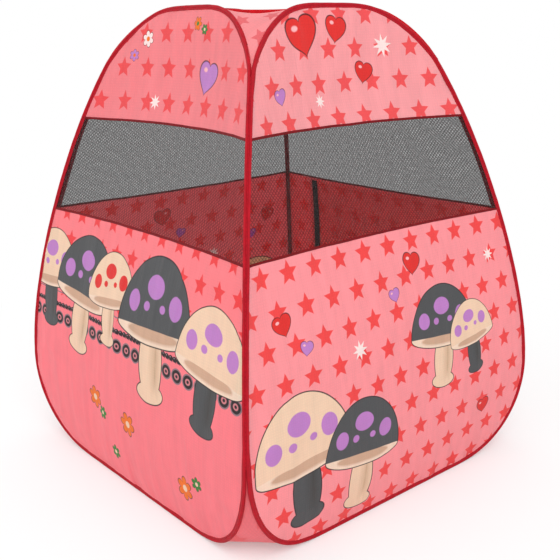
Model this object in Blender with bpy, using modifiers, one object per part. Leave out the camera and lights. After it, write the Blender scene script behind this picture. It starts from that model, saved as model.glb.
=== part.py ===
"""Kids pop-up play tent.

Four sprung wire hoops stand as the four walls of a square tent. Each hoop runs in a cloth sleeve that also
binds the edge of its own wall: a lower cloth panel, a mesh window and an upper cloth panel. Neighbouring
hoops are sewn together down the corner seams, and part above and below them into rounded crowns and feet.
A cloth roof and a cloth floor close the tent, and the back wall has a curtain door.

Metres, +Z up. The origin is on the ground at the middle of the tent. The front wall faces -Y.
"""

import math

import bmesh
import bpy
import numpy as np
from mathutils import Matrix, Vector

# Overall form, seen square on to a wall: half the distance between opposite walls, from ground to crown
TENT_HEIGHT = 0.900
FOOT_REACH = 0.3518
BELLY_REACH = 0.3723
WAIST_REACH = 0.3358
SHOULDER_REACH = 0.2658
CROWN_REACH = 0.1758
REACH_HEIGHT_SHARES = (0, 0.19, 0.50, 0.78, 1)

# Outline of a hoop: sewn to its neighbours between the two seam heights, rounded above and below
SEAM_FOOT_HEIGHT = 0.193
SEAM_HEAD_HEIGHT = 0.792
FOOT_STRAIGHT = 0.160
FOOT_ARC_POWERS = (1.94, 3.46)
CROWN_ARC_POWERS = (1.50, 4.00)
ARC_STEPS = 7
LOWER_SEAM_STEPS = 3
WINDOW_SEAM_STEPS = 2

# Cloth
CLOTH = 0.0008
WALL_BOW = 0.0473
WALL_BOW_POWERS = (3.02, 1.5)
PANEL_COLUMNS = 8
CLEARANCE = 0.0003

# Wire hoop, its ferrule and its sleeve
WIRE_RADIUS = 0.0011
WIRE_END_GAP = 0.0015
FERRULE_BORE = 0.0013
FERRULE_RADIUS = 0.0018
FERRULE_LENGTH = 0.030
FERRULE_SIDES = 10
SLEEVE_RADIUS = 0.0028
SLEEVE_BORE = 0.0022
SLEEVE_ARC_STEPS = 5
LIP_REACH = 0.0048
LIP_THICKNESS = 0.0008
LIP_PLAY = 0.0006
CLOTH_EDGE_REACH = 0.0025

# Window
LOWER_HEM_HEIGHT = 0.5075
UPPER_HEM_HEIGHT = 0.6915
HEM_WIDTH = 0.005
HEM_THICKNESS = 0.0018

# Roof and floor
ROOF_SAG = 0.008
ROOF_BINDING_HEIGHT = 0.0075
ROOF_BINDING_THICKNESS = 0.0016
ROOF_BINDING_ROOT = 0.0015
SHEET_INSET = 0.0034
SHEET_CORNER_INSET = 0.0038
SHEET_INSET_POWER = 9
FLOOR_LIFT = 0.0003
FLOOR_FLAT_POWER = 8

# Door, a curtain sewn down the right side of its doorway and closed down the other by a hook strip
DOORWAY_SEAM_MARGIN = 0.100
DOORWAY_SILL = 0.060
DOORWAY_HEADER = 0.009
DOORWAY_STEPS = 6
DOORWAY_FIRST_CELL = 3
DOOR_LAP = 0.012
DOOR_HEAD_LAP = 0.004
DOOR_COLUMNS = 18
DOOR_FOLDS = 3
DOOR_FOLD_DEPTH = 0.003
STRIP_WIDTH = 0.020
STRIP_THICKNESS = 0.0010
STRIP_ROOT = 0.004
STRIP_END_SPACE = 0.006
DOOR_AXIS_SPACE = 0.002

# Tie that holds the open door
TIE_WIDTH = 0.012
TIE_TOP_HEIGHT = 0.360
TIE_LENGTH = 0.075
TIE_OFFSET = 0.050
TIE_ROWS = 5
TOGGLE_RADIUS = 0.005
TOGGLE_LENGTH = 0.026
TOGGLE_SIDES = 12

# Corner hinges: the seams work as hinges when the tent is folded
SEAM_HINGE_INSET = 0.005
HINGE_LINE_SAMPLES = 61

# Finishes: sRGB colour, roughness, metallic
FINISHES = {
    "spring_steel": ("8D8F92", 0.35, 1.0),
    "zinc_plated_ferrule": ("B9BCC0", 0.40, 1.0),
    "crimson_sleeve": ("C2102A", 0.75, 0.0),
    "pink_cloth": ("FB979B", 0.85, 0.0),
    "black_mesh": ("3A3A3C", 0.80, 0.0),
    "dark_red_hem": ("8A0C1C", 0.80, 0.0),
    "black_strip": ("141110", 0.90, 0.0),
    "red_tape": ("B5122A", 0.80, 0.0),
    "black_toggle": ("202022", 0.45, 0.0),
}

WALLS = ("front", "right", "back", "left")


def clear_scene():
    for item in list(bpy.data.objects):
        bpy.data.objects.remove(item, do_unlink=True)


def new_collection(name):
    collection = bpy.data.collections.new(name)
    bpy.context.scene.collection.children.link(collection)
    return collection


def linear(channel):
    share = channel / 255
    return share / 12.92 if share <= 0.04045 else ((share + 0.055) / 1.055) ** 2.4


def finish_material(name):
    material = bpy.data.materials.get(name)
    if material:
        return material
    colour, roughness, metallic = FINISHES[name]
    rgb = [linear(value) for value in bytes.fromhex(colour)]
    material = bpy.data.materials.new(name)
    material.use_nodes = True
    shader = material.node_tree.nodes["Principled BSDF"]
    shader.inputs["Base Color"].default_value = (*rgb, 1)
    shader.inputs["Roughness"].default_value = roughness
    shader.inputs["Metallic"].default_value = metallic
    material.diffuse_color = (*rgb, 1)
    return material


# Form of a wall

# The reach is the quartic curve through its five named sizes
REACH_CURVE = np.polyfit(
    REACH_HEIGHT_SHARES,
    (FOOT_REACH, BELLY_REACH, WAIST_REACH, SHOULDER_REACH, CROWN_REACH),
    len(REACH_HEIGHT_SHARES) - 1,
)


def curved_reach(z):
    return float(np.polyval(REACH_CURVE, z / TENT_HEIGHT))


def reach_slope(z):
    return float(np.polyval(np.polyder(REACH_CURVE), z / TENT_HEIGHT)) / TENT_HEIGHT


def sleeve_arc(radius, opening):
    """Angles of a tube's wall that is open by the width of its slit, on the side towards the cloth."""
    end = math.pi - math.asin(opening / radius)
    return [end * (2 * step / SLEEVE_ARC_STEPS - 1) for step in range(SLEEVE_ARC_STEPS + 1)]


LIP_INSIDE = CLOTH / 2 + LIP_PLAY
LIP_SPAN = 2 * LIP_REACH - CLOTH_EDGE_REACH
LIP_OUTSIDE = LIP_INSIDE + LIP_THICKNESS
OUTER_ARC = sleeve_arc(SLEEVE_RADIUS, LIP_OUTSIDE)
INNER_ARC = sleeve_arc(SLEEVE_BORE, LIP_INSIDE)

# The sleeve leans with the wall, and its lowest edge stands on the ground
FOOT_LEAN = math.atan(reach_slope(SLEEVE_RADIUS))
FOOT_WIRE_HEIGHT = SLEEVE_RADIUS * max(math.cos(angle - FOOT_LEAN) for angle in OUTER_ARC)
CROWN_WIRE_HEIGHT = TENT_HEIGHT - SLEEVE_RADIUS

# Two sleeves lie side by side down a corner seam
WIRE_CORNER_INSET = (2 * SLEEVE_RADIUS + CLEARANCE) / math.sqrt(2)


def curved_half_width(z):
    """Half the width of a hoop, at its wire, at height z."""
    full = curved_reach(z) - WIRE_CORNER_INSET
    if z < SEAM_FOOT_HEIGHT:
        fall, round_power = FOOT_ARC_POWERS
        drop = min((SEAM_FOOT_HEIGHT - z) / (SEAM_FOOT_HEIGHT - FOOT_WIRE_HEIGHT), 1)
        return FOOT_STRAIGHT + (full - FOOT_STRAIGHT) * (1 - drop**fall) ** (1 / round_power)
    if z > SEAM_HEAD_HEIGHT:
        rise, round_power = CROWN_ARC_POWERS
        climb = min((z - SEAM_HEAD_HEIGHT) / (CROWN_WIRE_HEIGHT - SEAM_HEAD_HEIGHT), 1)
        return full * (1 - climb**rise) ** (1 / round_power)
    return full


def curved_bow(z):
    """How far the cloth is drawn in at the middle of a wall, at height z."""
    rise, ease = WALL_BOW_POWERS
    share = z / CROWN_WIRE_HEIGHT
    return WALL_BOW * abs(math.sin(math.pi * share**rise)) ** ease


def hoop_levels():
    """Heights of the hoop's points, from the straight foot to the crown."""
    quarter = math.pi / 2
    levels = []
    for step in range(ARC_STEPS):
        drop = math.cos(quarter * step / ARC_STEPS) ** (2 / FOOT_ARC_POWERS[0])
        levels.append(SEAM_FOOT_HEIGHT - drop * (SEAM_FOOT_HEIGHT - FOOT_WIRE_HEIGHT))
    for step in range(LOWER_SEAM_STEPS):
        levels.append(SEAM_FOOT_HEIGHT + (LOWER_HEM_HEIGHT - SEAM_FOOT_HEIGHT) * step / LOWER_SEAM_STEPS)
    for step in range(WINDOW_SEAM_STEPS + 1):
        levels.append(LOWER_HEM_HEIGHT + (UPPER_HEM_HEIGHT - LOWER_HEM_HEIGHT) * step / WINDOW_SEAM_STEPS)
    for step in range(ARC_STEPS + 1):
        climb = math.sin(quarter * step / ARC_STEPS) ** (2 / CROWN_ARC_POWERS[0])
        levels.append(SEAM_HEAD_HEIGHT + climb * (CROWN_WIRE_HEIGHT - SEAM_HEAD_HEIGHT))
    return levels


# Every piece takes its form from these levels and runs straight between them, so layers stay apart
LEVELS = hoop_levels()
LEVEL_REACHES = [curved_reach(z) for z in LEVELS]
LEVEL_HALF_WIDTHS = [curved_half_width(z) for z in LEVELS]
LEVEL_BOWS = [curved_bow(z) for z in LEVELS]


def reach(z):
    """Distance from the tent's middle to the wall at a hoop, at height z."""
    return float(np.interp(z, LEVELS, LEVEL_REACHES))


def seam_half_width(z):
    return reach(z) - WIRE_CORNER_INSET


def hoop_half_width(z):
    return float(np.interp(z, LEVELS, LEVEL_HALF_WIDTHS))


def bow(z):
    return float(np.interp(z, LEVELS, LEVEL_BOWS))


# (x, z) of the wire from the middle of the foot up the right side to the middle of the crown
HALF_HOOP = [(0, FOOT_WIRE_HEIGHT), *zip(LEVEL_HALF_WIDTHS[:-1], LEVELS), (0, CROWN_WIRE_HEIGHT)]


def whole_hoop():
    """(x, z) of the wire all the way round, counter-clockwise seen from outside the front wall."""
    left = [(-x, z) for x, z in reversed(HALF_HOOP[1:-1])]
    return HALF_HOOP + left


def on_wall(x, z, outward=0):
    """A point of the cloth surface of the front wall, moved outward from the surface by a small distance."""
    width = max(hoop_half_width(z), abs(x))
    drawn_in = bow(z) * (1 - (x / width) ** 2)
    return Vector((x, -(reach(z) - drawn_in) - outward, z))


def cloth_edge():
    """(x, z) of the cloth's raw edge inside the sleeve, up the right side from foot to crown."""
    plan = HALF_HOOP
    edge = []
    for index, (x, z) in enumerate(plan):
        before = plan[index - 1] if index else (-plan[1][0], plan[1][1])
        after = plan[index + 1] if index + 1 < len(plan) else (-plan[-2][0], plan[-2][1])
        run = Vector((after[0] - before[0], after[1] - before[1])).normalized()
        edge.append((x - run.y * CLOTH_EDGE_REACH, z + run.x * CLOTH_EDGE_REACH))
    return edge[1:]


EDGE_HALF_WIDTHS, EDGE_LEVELS = zip(*cloth_edge())
CLOTH_FOOT = EDGE_LEVELS[0]
CLOTH_CROWN = EDGE_LEVELS[-1]
HEM_SPACE = HEM_WIDTH / 2 + CLEARANCE


def edge_half_width(z):
    """Half the width of the cloth at height z, between the raw edges in the sleeve."""
    return float(np.interp(z, EDGE_LEVELS, EDGE_HALF_WIDTHS))


def cloth_levels(low, high):
    """Heights of the cloth's rows between two heights: the edge's own points, and the two ends."""
    space = HEM_WIDTH
    inside = [z for z in EDGE_LEVELS if low + space < z < high - space]
    return [low, *inside, high]


def column_places(half_width):
    """Places across a wall: the raw edge, the end of the sleeve's lip, and even steps between."""
    lip = min(LIP_SPAN, half_width / PANEL_COLUMNS)
    inner = half_width - lip
    even = [inner * (2 * step / PANEL_COLUMNS - 1) for step in range(PANEL_COLUMNS + 1)]
    return [-half_width, *even, half_width]


def panel_rows(low, high, outward=0):
    rows = []
    for z in cloth_levels(low, high):
        if z >= CLOTH_CROWN:
            rows.append([on_wall(0, z, outward)])
        else:
            rows.append([on_wall(x, z, outward) for x in column_places(edge_half_width(z))])
    return rows


def wall_row(z):
    """A row of points across the whole cloth at one of its levels."""
    if z >= CLOTH_CROWN:
        return [on_wall(0, z)] * len(column_places(0))
    return [on_wall(x, z) for x in column_places(edge_half_width(z))]


CLOTH_ROWS = [wall_row(z) for z in EDGE_LEVELS]


def on_cloth(x, z):
    """A point of the cloth as it is laid, straight between its rows and columns."""
    index = min(max(int(np.searchsorted(EDGE_LEVELS, z)) - 1, 0), len(EDGE_LEVELS) - 2)
    share = (z - EDGE_LEVELS[index]) / (EDGE_LEVELS[index + 1] - EDGE_LEVELS[index])
    row = [low.lerp(high, share) for low, high in zip(CLOTH_ROWS[index], CLOTH_ROWS[index + 1])]
    return Vector((x, float(np.interp(x, [point.x for point in row], [point.y for point in row])), z))


def hoop_frames():
    """(middle, away from the cloth, outward) of the sleeve at each point round the hoop."""
    plan = whole_hoop()
    count = len(plan)
    frames = []
    for index, (x, z) in enumerate(plan):
        before = plan[index - 1]
        after = plan[(index + 1) % count]
        run = Vector((after[0] - before[0], after[1] - before[1])).normalized()
        away = Vector((run.y, -run.x))
        middle = Vector((x, -reach(z), z))
        edge = on_wall(x - away.x * CLOTH_EDGE_REACH, z - away.y * CLOTH_EDGE_REACH)
        inner = on_cloth(x - away.x * LIP_REACH, z - away.y * LIP_REACH)
        along = Vector((run.x, -reach_slope(z) * run.y, run.y)).normalized()
        outward = along.cross(edge - inner).normalized()
        frames.append((middle, outward.cross(along), outward))
    return frames


# Mesh tools


def add_object(name, mesh, finish, collection):
    item = bpy.data.objects.new(name, mesh)
    if not mesh.materials:
        mesh.materials.append(finish_material(finish))
    collection.objects.link(item)
    return item


def mesh_from(name, points, faces, smooth=True):
    mesh = bpy.data.meshes.new(name)
    mesh.from_pydata([tuple(point) for point in points], [], faces)
    work = bmesh.new()
    work.from_mesh(mesh)
    bmesh.ops.recalc_face_normals(work, faces=work.faces)
    work.to_mesh(mesh)
    work.free()
    if smooth:
        mesh.shade_smooth()
    return mesh


def lofted(name, rings, closed):
    """A skin over rings of points, joined end to end or capped."""
    sides = len(rings[0])
    points = [point for ring in rings for point in ring]
    faces = []
    spans = len(rings) if closed else len(rings) - 1
    for index in range(spans):
        first = index * sides
        second = (index + 1) % len(rings) * sides
        for side in range(sides):
            after = (side + 1) % sides
            faces.append((first + side, first + after, second + after, second + side))
    if not closed:
        faces.append(tuple(range(sides)))
        faces.append(tuple(range(len(points) - sides, len(points))))
    return mesh_from(name, points, faces, smooth=False)


def cloth_mesh(name, rows, skip=()):
    """A sheet over rows of points; the last row may be a single point. Cells named in skip are left open."""
    points = []
    starts = []
    for row in rows:
        starts.append(len(points))
        points.extend(row)
    faces = []
    for index in range(len(rows) - 1):
        here = starts[index]
        above = starts[index + 1]
        cells = len(rows[index]) - 1
        for cell in range(cells):
            if (index, cell) in skip:
                continue
            if len(rows[index + 1]) == 1:
                faces.append((here + cell, here + cell + 1, above))
            else:
                faces.append((here + cell, here + cell + 1, above + cell + 1, above + cell))
    mesh = mesh_from(name, points, faces)
    work = bmesh.new()
    work.from_mesh(mesh)
    loose = [vertex for vertex in work.verts if not vertex.link_faces]
    bmesh.ops.delete(work, geom=loose, context="VERTS")
    work.to_mesh(mesh)
    work.free()
    return mesh


def thicken(item, thickness, middle=True):
    solidify = item.modifiers.new("thickness", "SOLIDIFY")
    solidify.thickness = thickness
    solidify.offset = 0 if middle else 1
    solidify.use_even_offset = True
    return item


# Pieces that every wall has


def wire_curve():
    """The wire: one open run of round bar whose ends meet under the ferrule."""
    plan = whole_hoop()[1:]
    middles = [Vector((x, -reach(z), z)) for x, z in plan]
    foot = Vector((WIRE_END_GAP / 2, -reach(FOOT_WIRE_HEIGHT), FOOT_WIRE_HEIGHT))
    route = [foot, *middles, Vector((-foot.x, foot.y, foot.z))]
    curve = bpy.data.curves.new("hoop_wire", "CURVE")
    curve.dimensions = "3D"
    curve.bevel_depth = WIRE_RADIUS
    curve.bevel_resolution = 1
    curve.use_fill_caps = True
    curve.materials.append(finish_material("spring_steel"))
    spline = curve.splines.new("POLY")
    spline.points.add(len(route) - 1)
    for point, place in zip(spline.points, route):
        point.co = (*place, 1)
    return curve


def tube_mesh(name, radius, bore, length, sides):
    """A plain tube along X."""
    half = length / 2
    profile = [(-half, bore), (half, bore), (half, radius), (-half, radius)]
    rings = []
    for step in range(sides):
        turn = 2 * math.pi * step / sides
        rings.append([Vector((x, r * math.cos(turn), r * math.sin(turn))) for x, r in profile])
    return lofted(name, rings, closed=True)


def sleeve_profile():
    """The folded sleeve in section: a tube round the wire that ends in two lips over the cloth."""
    outer = [(SLEEVE_RADIUS * math.cos(turn), SLEEVE_RADIUS * math.sin(turn)) for turn in OUTER_ARC]
    inner = [(SLEEVE_BORE * math.cos(turn), SLEEVE_BORE * math.sin(turn)) for turn in INNER_ARC]
    upper_lip = [(-LIP_REACH, LIP_OUTSIDE), (-LIP_REACH, LIP_INSIDE)]
    lower_lip = [(-LIP_REACH, -LIP_INSIDE), (-LIP_REACH, -LIP_OUTSIDE)]
    return outer + upper_lip + inner[::-1] + lower_lip


def sleeve_mesh():
    """The sleeve follows the hoop and keeps its lips in the plane of the cloth, so it is lofted."""
    profile = sleeve_profile()
    rings = []
    for middle, away, outward in hoop_frames():
        rings.append([middle + away * across + outward * through for across, through in profile])
    return lofted("hoop_sleeve", rings, closed=True)


def hem_mesh(name, height):
    """A folded tape along the window's edge, from sleeve to sleeve."""
    rings = []
    for step in range(PANEL_COLUMNS + 1):
        share = 2 * step / PANEL_COLUMNS - 1
        ring = []
        for side, rise in ((-1, -1), (1, -1), (1, 1), (-1, 1)):
            z = height + rise * HEM_WIDTH / 2
            half_width = edge_half_width(z) - LIP_REACH
            ring.append(on_wall(half_width * share, z, side * HEM_THICKNESS / 2))
        rings.append(ring)
    return lofted(name, rings, closed=False)


# Door and doorway, on the back wall's own plan: seen from outside, -x is the side of the right wall

DOORWAY_TOP = LOWER_HEM_HEIGHT - DOORWAY_HEADER


def seam_side(z):
    """x of the doorway's closing side, which runs along the corner seam."""
    return reach(z) - DOORWAY_SEAM_MARGIN


def hinge_side(z):
    """x of the doorway's sewn side, a straight line."""
    share = (z - DOORWAY_SILL) / (DOORWAY_TOP - DOORWAY_SILL)
    return -(seam_side(DOORWAY_SILL) * (1 - share) + seam_side(DOORWAY_TOP) * share)


def doorway_columns(z):
    """Places across the back wall with a column down each side of the doorway."""
    half_width = edge_half_width(z)
    level = max(z, DOORWAY_SILL)
    fit = half_width / edge_half_width(level)
    hinge = hinge_side(level) * fit
    seam = seam_side(level) * fit
    lip = half_width - min(LIP_SPAN, half_width / PANEL_COLUMNS)
    steps = [hinge + (seam - hinge) * step / DOORWAY_STEPS for step in range(DOORWAY_STEPS + 1)]
    return [-half_width, -lip, (hinge - lip) / 2, *steps, (seam + lip) / 2, lip, half_width]


DOORWAY_CELLS = range(DOORWAY_FIRST_CELL, DOORWAY_FIRST_CELL + DOORWAY_STEPS)


def doorway_panel_mesh():
    """The back wall's lower panel, cut out for the doorway."""
    top = LOWER_HEM_HEIGHT - HEM_SPACE
    levels = [z for z in cloth_levels(CLOTH_FOOT, top) if abs(z - DOORWAY_SILL) > HEM_WIDTH]
    levels = sorted([*levels, DOORWAY_SILL, DOORWAY_TOP])
    rows = [[on_wall(x, z) for x in doorway_columns(z)] for z in levels]
    open_rows = [index for index, z in enumerate(levels) if DOORWAY_SILL <= z < DOORWAY_TOP]
    skip = {(row, cell) for row in open_rows for cell in DOORWAY_CELLS}
    return cloth_mesh("doorway_panel", rows, skip)


# Outward places of the layers at the door, from the middle of the wall's cloth
HOOK_PLACE = CLOTH / 2 + CLEARANCE + STRIP_THICKNESS / 2
LOOP_PLACE = HOOK_PLACE + STRIP_THICKNESS + CLEARANCE
FLAP_CLOSED_PLACE = LOOP_PLACE + STRIP_THICKNESS / 2 + CLEARANCE + CLOTH / 2
FLAP_SEWN_PLACE = CLOTH + CLEARANCE


def door_levels():
    low = DOORWAY_SILL - DOOR_LAP
    high = DOORWAY_TOP + DOOR_HEAD_LAP
    return [low, *[z for z in LEVELS if low + DOOR_LAP < z < high - DOOR_LAP], high]


def door_mesh():
    """The flap laps the doorway all round and hangs in shallow folds between its two sides."""
    rows = []
    for z in door_levels():
        start = hinge_side(z) - DOOR_LAP
        end = seam_side(z) + STRIP_WIDTH / 2
        row = []
        for step in range(DOOR_COLUMNS + 1):
            share = step / DOOR_COLUMNS
            place = FLAP_SEWN_PLACE + (FLAP_CLOSED_PLACE - FLAP_SEWN_PLACE) * share
            wave = (1 - math.cos(2 * math.pi * DOOR_FOLDS * share)) / 2
            slack = math.sin(math.pi * share) * DOOR_FOLD_DEPTH * wave
            row.append(on_wall(start + (end - start) * share, z, place + slack))
        rows.append(row)
    return cloth_mesh("door_flap", rows)


def strip_mesh(name, place):
    """A fastening strip along the doorway's closing side."""
    low = DOORWAY_SILL + STRIP_END_SPACE
    high = DOORWAY_TOP - STRIP_END_SPACE
    inside = [z for z in LEVELS if low + STRIP_END_SPACE < z < high - STRIP_END_SPACE]
    rows = []
    for z in (low, *inside, high):
        start = seam_side(z) + STRIP_ROOT - STRIP_WIDTH
        rows.append([on_wall(start + STRIP_WIDTH * share, z, place) for share in (0, 1 / 2, 1)])
    return cloth_mesh(name, rows)


def tie_x():
    return hinge_side(TIE_TOP_HEIGHT) - TIE_OFFSET


def tie_mesh():
    rows = []
    for step in range(TIE_ROWS + 1):
        z = TIE_TOP_HEIGHT - TIE_LENGTH * step / TIE_ROWS
        rows.append([on_wall(tie_x() + TIE_WIDTH * side, z, HOOK_PLACE) for side in (-1 / 2, 1 / 2)])
    return cloth_mesh("door_tie_tape", rows)


def toggle_place():
    """The toggle hangs on the lower end of its tape, clear of the cloth."""
    z = TIE_TOP_HEIGHT - TIE_LENGTH + TOGGLE_RADIUS
    space = HOOK_PLACE + STRIP_THICKNESS / 2 + CLEARANCE + TOGGLE_RADIUS
    return on_wall(tie_x(), z, space)


def toggle_mesh():
    mesh = bpy.data.meshes.new("door_toggle")
    work = bmesh.new()
    bmesh.ops.create_cone(
        work,
        cap_ends=True,
        segments=TOGGLE_SIDES,
        radius1=TOGGLE_RADIUS,
        radius2=TOGGLE_RADIUS,
        depth=TOGGLE_LENGTH,
    )
    work.to_mesh(mesh)
    work.free()
    return mesh


# Roof and floor, each a square sheet whose corners run down or up between two hoops


def sheet_point(across, along, height):
    """A point of a sheet at its shares of the tent's half width, drawn in from the sleeves at its edge."""
    half = reach(height)
    corner = SHEET_CORNER_INSET * abs(across * along) ** SHEET_INSET_POWER
    inset = SHEET_INSET + corner
    x = across * half - inset * across**SHEET_INSET_POWER
    y = along * half - inset * along**SHEET_INSET_POWER
    return Vector((x, y, height))


def both_ways(shares):
    return [-share for share in reversed(shares) if share > 0] + list(shares)


def crown_shares():
    """(share of the half width, height) of a hoop's crown, from its middle to the corner seam."""
    crown = HALF_HOOP[-ARC_STEPS - 1 :][::-1]
    return [(x / seam_half_width(z), z) for x, z in crown]


def foot_shares():
    foot = HALF_HOOP[1 : ARC_STEPS + 2]
    return [(x / seam_half_width(z), z) for x, z in foot]


def roof_height(across, along):
    shares, heights = zip(*crown_shares())
    edge = float(np.interp(abs(across * along), shares, heights))
    return edge - ROOF_SAG * (1 - across**2) * (1 - along**2)


def floor_height(across, along):
    shares, heights = zip(*foot_shares())
    edge = float(np.interp(abs(across * along), shares, heights))
    dip = FOOT_WIRE_HEIGHT - CLOTH / 2 - FLOOR_LIFT
    flat = (1 - across**FLOOR_FLAT_POWER) * (1 - along**FLOOR_FLAT_POWER)
    return edge - dip * flat


def roof_half_mesh(name, side):
    """Half the roof, on one side of the seam that runs from the left-front to the right-back corner."""
    shares = both_ways([share for share, _ in crown_shares()])
    count = len(shares)
    gap = ROOF_BINDING_THICKNESS / 2 + CLEARANCE
    shift = Vector((side, -side, 0)).normalized() * gap
    points = []
    numbers = {}
    for row in range(count):
        for column in range(count):
            if (column - row) * side < 0:
                continue
            across = shares[column]
            along = shares[row]
            place = sheet_point(across, along, roof_height(across, along))
            numbers[row, column] = len(points)
            points.append(place + shift if row == column else place)
    faces = []
    for row in range(count - 1):
        for column in range(count - 1):
            corners = [(row, column), (row, column + 1), (row + 1, column + 1), (row + 1, column)]
            known = [numbers[corner] for corner in corners if corner in numbers]
            if len(known) >= 3:
                faces.append(tuple(known))
    return mesh_from(name, points, faces)


def roof_binding_mesh():
    """The bound seam stands up along the roof's diagonal."""
    shares = both_ways([share for share, _ in crown_shares()])
    middles = [sheet_point(share, share, roof_height(share, share)) for share in shares]
    side = Vector((1, -1, 0)).normalized() * (ROOF_BINDING_THICKNESS / 2)
    rings = []
    for index, middle in enumerate(middles):
        before = middles[max(index - 1, 0)]
        after = middles[min(index + 1, len(middles) - 1)]
        rise = side.cross(after - before).normalized()
        rise = rise if rise.z > 0 else -rise
        low = middle - rise * ROOF_BINDING_ROOT
        high = middle + rise * (ROOF_BINDING_HEIGHT - ROOF_BINDING_ROOT)
        rings.append([low - side, low + side, high + side, high - side])
    return lofted("roof_seam_binding", rings, closed=False)


def floor_mesh():
    shares = both_ways([0, *[share for share, _ in foot_shares()]])
    rows = []
    for along in shares:
        rows.append([sheet_point(across, along, floor_height(across, along)) for across in shares])
    return cloth_mesh("floor_sheet", rows)


# Hinges


def closing_line():
    """Inner hinge line of a closing corner: its reach on the ground, and the height where all hinges meet."""
    low = reach(SEAM_FOOT_HEIGHT) - SEAM_HINGE_INSET
    high = reach(SEAM_HEAD_HEIGHT) - SEAM_HINGE_INSET
    slope = (low - high) / (SEAM_HEAD_HEIGHT - SEAM_FOOT_HEIGHT)
    ground = low + slope * SEAM_FOOT_HEIGHT
    return ground, ground / slope


def opening_reach():
    """Reach on the ground of an opening corner's hinge line, which touches the seam from outside."""
    apex = closing_line()[1]
    heights = np.linspace(SEAM_FOOT_HEIGHT, SEAM_HEAD_HEIGHT, HINGE_LINE_SAMPLES)
    return max(reach(z) / (1 - z / apex) for z in heights)


def door_axis():
    """(low point, direction) of the door's hinge, a straight line outside the curved wall."""
    levels = np.linspace(DOORWAY_SILL - DOOR_LAP, DOORWAY_TOP + DOOR_HEAD_LAP, HINGE_LINE_SAMPLES)
    space = DOOR_LAP + DOOR_AXIS_SPACE
    edge = [on_wall(hinge_side(z) - space, z, FLAP_SEWN_PLACE) for z in levels]
    run = edge[-1] - edge[0]
    slope = run.y / run.z
    outermost = min(point.y - slope * point.z for point in edge)
    low = Vector((edge[0].x, outermost + slope * edge[0].z, edge[0].z))
    return low, run.normalized()


# Assembly


def turned(wall):
    return Matrix.Rotation(WALLS.index(wall) * math.pi / 2, 4, "Z")


def hinge_empty(name, place, direction, collection, parent=None):
    empty = bpy.data.objects.new(name, None)
    turn = Vector((0, 0, 1)).rotation_difference(direction).to_matrix().to_4x4()
    place_matrix = Matrix.Translation(place) @ turn
    collection.objects.link(empty)
    if parent:
        empty.parent = parent
        empty.matrix_parent_inverse = parent.matrix_world.inverted()
    empty.matrix_world = place_matrix
    bpy.context.view_layer.update()
    return empty


def hang_on(item, empty):
    item.parent = empty
    item.matrix_parent_inverse = empty.matrix_world.inverted()
    return item


def hinge_empties(collection):
    """The front wall stands still; the others fold about the corner seams."""
    closing_ground, apex_height = closing_line()
    opening_ground = opening_reach()
    apex = Vector((0, 0, apex_height))
    near = Vector((opening_ground, -opening_ground, 0))
    left = Vector((-closing_ground, -closing_ground, 0))
    far = Vector((-opening_ground, opening_ground, 0))
    front = hinge_empty("front_wall_frame", Vector((0, 0, 0)), Vector((0, 0, 1)), collection)
    right_wall = hinge_empty("right_wall_hinge", near, apex - near, collection, front)
    left_wall = hinge_empty("left_wall_hinge", left, apex - left, collection, front)
    back_wall = hinge_empty("back_wall_hinge", far, apex - far, collection, left_wall)
    low, run = door_axis()
    turn = turned("back")
    door = hinge_empty("door_hinge", turn @ low, turn.to_3x3() @ run, collection, back_wall)
    return {"front": front, "right": right_wall, "left": left_wall, "back": back_wall, "door": door}


def build_wall(wall, shared, empty, collection):
    """One wall's pieces, turned to their side of the tent."""
    for piece, (mesh, finish, thickness) in shared.items():
        if wall == "back" and piece == "lower_panel":
            mesh = doorway_panel_mesh()
        item = add_object(f"{wall}_{piece}", mesh, finish, collection)
        item.matrix_world = turned(wall)
        if piece == "wire_ferrule":
            place = Vector((0, -reach(FOOT_WIRE_HEIGHT), FOOT_WIRE_HEIGHT))
            item.matrix_world = turned(wall) @ Matrix.Translation(place)
        if thickness:
            thicken(item, thickness)
        hang_on(item, empty)


def shared_pieces():
    """Meshes that every wall uses: mesh, finish, and thickness where the mesh is a sheet."""
    lower_top = LOWER_HEM_HEIGHT - HEM_SPACE
    window_low = LOWER_HEM_HEIGHT + HEM_SPACE
    window_high = UPPER_HEM_HEIGHT - HEM_SPACE
    upper_low = UPPER_HEM_HEIGHT + HEM_SPACE
    ferrule = tube_mesh("wire_ferrule", FERRULE_RADIUS, FERRULE_BORE, FERRULE_LENGTH, FERRULE_SIDES)
    return {
        "hoop_wire": (wire_curve(), "spring_steel", 0),
        "wire_ferrule": (ferrule, "zinc_plated_ferrule", 0),
        "hoop_sleeve": (sleeve_mesh(), "crimson_sleeve", 0),
        "lower_panel": (cloth_mesh("lower_panel", panel_rows(CLOTH_FOOT, lower_top)), "pink_cloth", CLOTH),
        "mesh_window": (cloth_mesh("mesh_window", panel_rows(window_low, window_high)), "black_mesh", CLOTH),
        "upper_panel": (cloth_mesh("upper_panel", panel_rows(upper_low, CLOTH_CROWN)), "pink_cloth", CLOTH),
        "lower_hem": (hem_mesh("lower_hem", LOWER_HEM_HEIGHT), "dark_red_hem", 0),
        "upper_hem": (hem_mesh("upper_hem", UPPER_HEM_HEIGHT), "dark_red_hem", 0),
    }


def build_sheets(empty, collection):
    near = add_object("roof_near_panel", roof_half_mesh("roof_near_panel", 1), "pink_cloth", collection)
    far = add_object("roof_far_panel", roof_half_mesh("roof_far_panel", -1), "pink_cloth", collection)
    floor = add_object("floor_sheet", floor_mesh(), "pink_cloth", collection)
    for item in (near, far, floor):
        thicken(item, CLOTH)
    binding = add_object("roof_seam_binding", roof_binding_mesh(), "crimson_sleeve", collection)
    for item in (near, far, floor, binding):
        hang_on(item, empty)


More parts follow.
